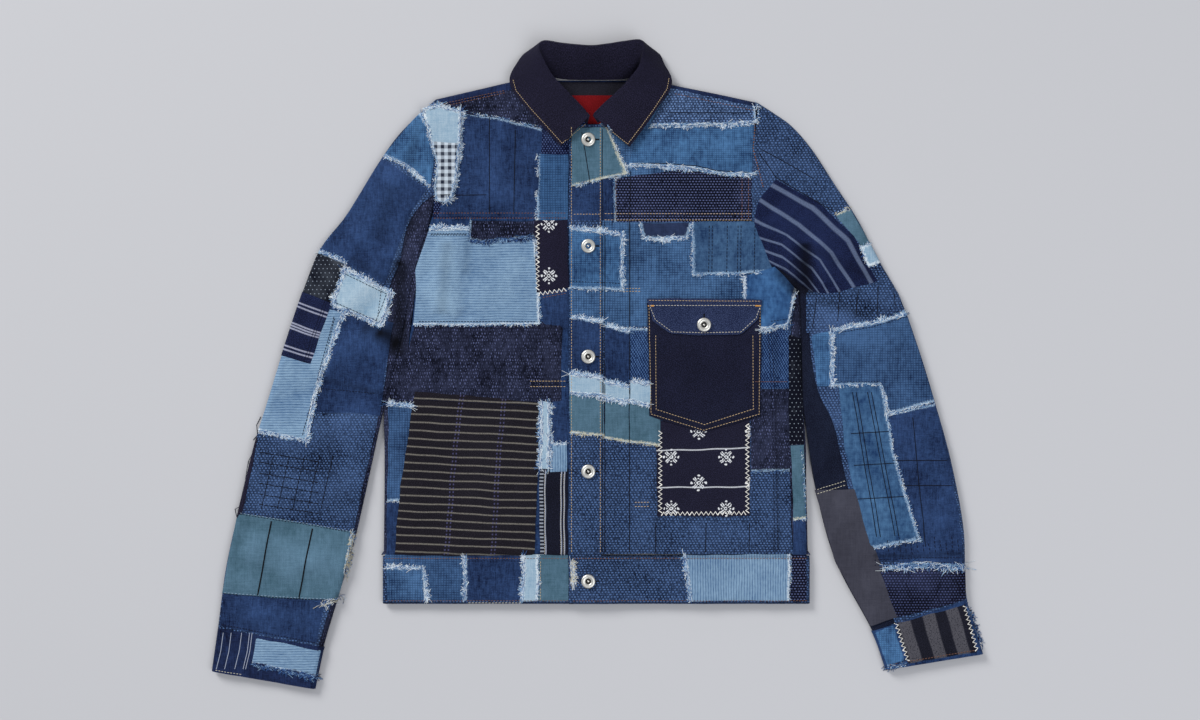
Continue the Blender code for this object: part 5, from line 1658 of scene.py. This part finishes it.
# The right sleeve: joins between its patches, darns on the twill, and the cuff.
sew("navy", (-262, 60), (-258, 92), (-240, 120), (-222, 162), (-204, 206))
sew("navy", (-330, -28), (-266, -34))
sew("navy", (-314, 56), (-334, -30), (-342, -86))
for y in (-112, -124, -137, -149, -162, -174):
    sew("seam", (-404, y + 8), (-330, y - 4), step=6.0, share=0.85)
for x in (-395, -376, -358, -340, -324):
    sew("seam", (x + 8, -108), (x - 6, -172), step=6.0, share=0.85)
# Two thick dark lines down the teal patch: partly dark lines in the cloth, partly painted pleat shade.
seam((-389, -184), (-406, -276), thread="hole")
seam((-340, -193), (-357, -281), thread="hole")
for row in ([(-428, -178), (-358, -189), (-294, -200)], [(-447, -273), (-378, -278), (-314, -281)]):
    sew("navy", *row)
    sew("sky", *row, step=4.4, share=0.5, offset=1.2)
for row in (
    ((-316, 76), (-264, 53)), ((-264, 53), (-252, 84)), ((-304, 110), (-250, 84)), ((-352, -84), (-314, 60)),
):
    sew("navy", *row, step=4.2, share=0.75)
sew("navy", (-450, -310), (-330, -333))
sew("ecru", (-457, -364.5), (-424, -370))
for top, foot in ((-447, -456), (-437.5, -446), (-425, -434), (-415.5, -424), (-412.5, -421)):
    seam((top, -318), ((top + foot) / 2 + 1.5, -342), (foot, -366), thread="lining", step=4.0)

# The left sleeve: seams of the armhole, the elbow and its puckered band, and the cuff.
seam((195, 258), (228, 240), (262, 220))
seam((192, 255), (213, 224), (286, 181))
sew_twice("brown", 0.5, (198, 212), (186, 258), (190, 308))
for row in (
    ((262, 82), (256, 40)), ((290, 90), (286, 50)), ((312, 94), (308, 54)), ((335, 97), (334, 58)),
    ((354, 88), (356, 66)),
):
    seam(*row)
sew("navy", (283, 38), (326, 45), (370, 58))
sew("navy", (286, -20), (336, -20))
for top_x, foot_x, foot_y in ((304, 334, -210), (308.5, 338.5, -210), (322, 356, -208), (326.5, 360.5, -208)):
    seam((top_x, -30), (foot_x, foot_y))
for y in (-82, -120, -160):
    seam((300 - (y + 82) * 0.1, y), (350 - (y + 82) * 0.2, y + 3))
seam((350, -114), (422, -114))
seam((360, -144), (428, -144))
seam((376, -60), (392, -220))
for y in (-230.0, -236.0):
    sew("navy", (330, y - 3), (385, y), (438, y))
for y in (-144.0, -149.0):
    sew("ecru", (262, y - 5), (298, y + 6))
for x in range(346, 436, 7):
    sew("navy", (x, -204 - (x % 3) * 4), (x + 2, -226), step=5.2, share=0.6)
zigzag((356, -307), (371.5, -356))
zigzag((438, -286), (454, -344))
sew("brown", (348, -358), (456, -340))

# The shoulders and the collar's edge.
sew_twice("brown", 3.0, (-188, 310), (-109, 327))
sew("brown", (92, 324), (140, 314), (186, 304))
sew("tan", (-14, 288), (-42, 264), (-60, 284), (-80, 306), (-97, 327), (-101, 341), step=2.8)
sew("tan", (2, 289), (36, 263), (52, 284), (68, 306), (83, 329), (85, 341), step=2.8)

# Buttonholes: a cut bound with close black stitches, from under each button to its right, and one
# above the button of the flap.
for name, x, y, level in BUTTONS:
    cut = [(x, y + reach) if name == "button_pocket" else (x + reach, y) for reach in (6.5, 9.7, 13.0)]
    threads["hole"].append(lying(cut, 0.1))

# Loose threads that hang off worn seams.
LOOSE_THREADS = [
    [(-404, -62), (-409, -72), (-408, -84), (-413, -90)],
    [(-411, -104), (-419, -116), (-421, -136), (-416, -152)],
    [(-424, -178), (-433, -182), (-435, -173), (-429, -170)],
    [(372, -246), (368, -262), (376, -278), (373, -290)],
    [(404, -244), (410, -258), (404, -272), (408, -283)],
    [(430, -243), (426, -256), (434, -270), (430, -280)],
]
for spots in LOOSE_THREADS:
    threads["navy"].append(lying(spots, 0.3))

for key, (code, radius) in THREADS.items():
    strand_mesh(f"stitches_{key}", threads[key], radius, f"thread_{key}", code)


# ---- Floor, light and camera ----
# A plain pale floor, lit by a large soft lamp at the upper left and a weak one at the lower right,
# and seen from straight above.

FLOOR_SIZE = 30.0
CAMERA_HEIGHT = 2.0
FRAME_WIDTH = 1.44
SENSOR_WIDTH = 36.0

bpy.ops.mesh.primitive_plane_add(size=FLOOR_SIZE)
floor = bpy.context.active_object
floor.name = "stage_floor"
floor_paint, _ = plain_finish("floor_paper", 0.1, 0.9, (0.56, 0.565, 0.59, 1.0))
floor.data.materials.append(floor_paint)


def soft_light(name, place, size, power, colour):
    light = bpy.data.lights.new(name, "AREA")
    light.shape = "DISK"
    light.size = size
    light.energy = power
    light.color = colour
    lamp = new_object(name, light)
    lamp.location = place
    lamp.rotation_euler = (-Vector(place)).to_track_quat("-Z", "Y").to_euler()


soft_light("stage_key", (-3.8, 4.0, 3.2), 2.6, 330.0, (1.0, 0.99, 0.97))
soft_light("stage_fill", (1.5, -1.2, 2.7), 2.6, 39.0, (0.97, 0.98, 1.0))

world = bpy.data.worlds.new("studio")
world.use_nodes = True
sky = world.node_tree.nodes["Background"]
sky.inputs["Color"].default_value = (0.93, 0.95, 1.0, 1.0)
sky.inputs["Strength"].default_value = 0.42
bpy.context.scene.world = world
bpy.context.scene.view_settings.view_transform = "Standard"

lens = bpy.data.cameras.new("camera")
lens.sensor_width = SENSOR_WIDTH
lens.lens = SENSOR_WIDTH * CAMERA_HEIGHT / FRAME_WIDTH
camera = new_object("camera", lens)
camera.location = (0.003, 0.006, CAMERA_HEIGHT)
bpy.context.scene.camera = camera
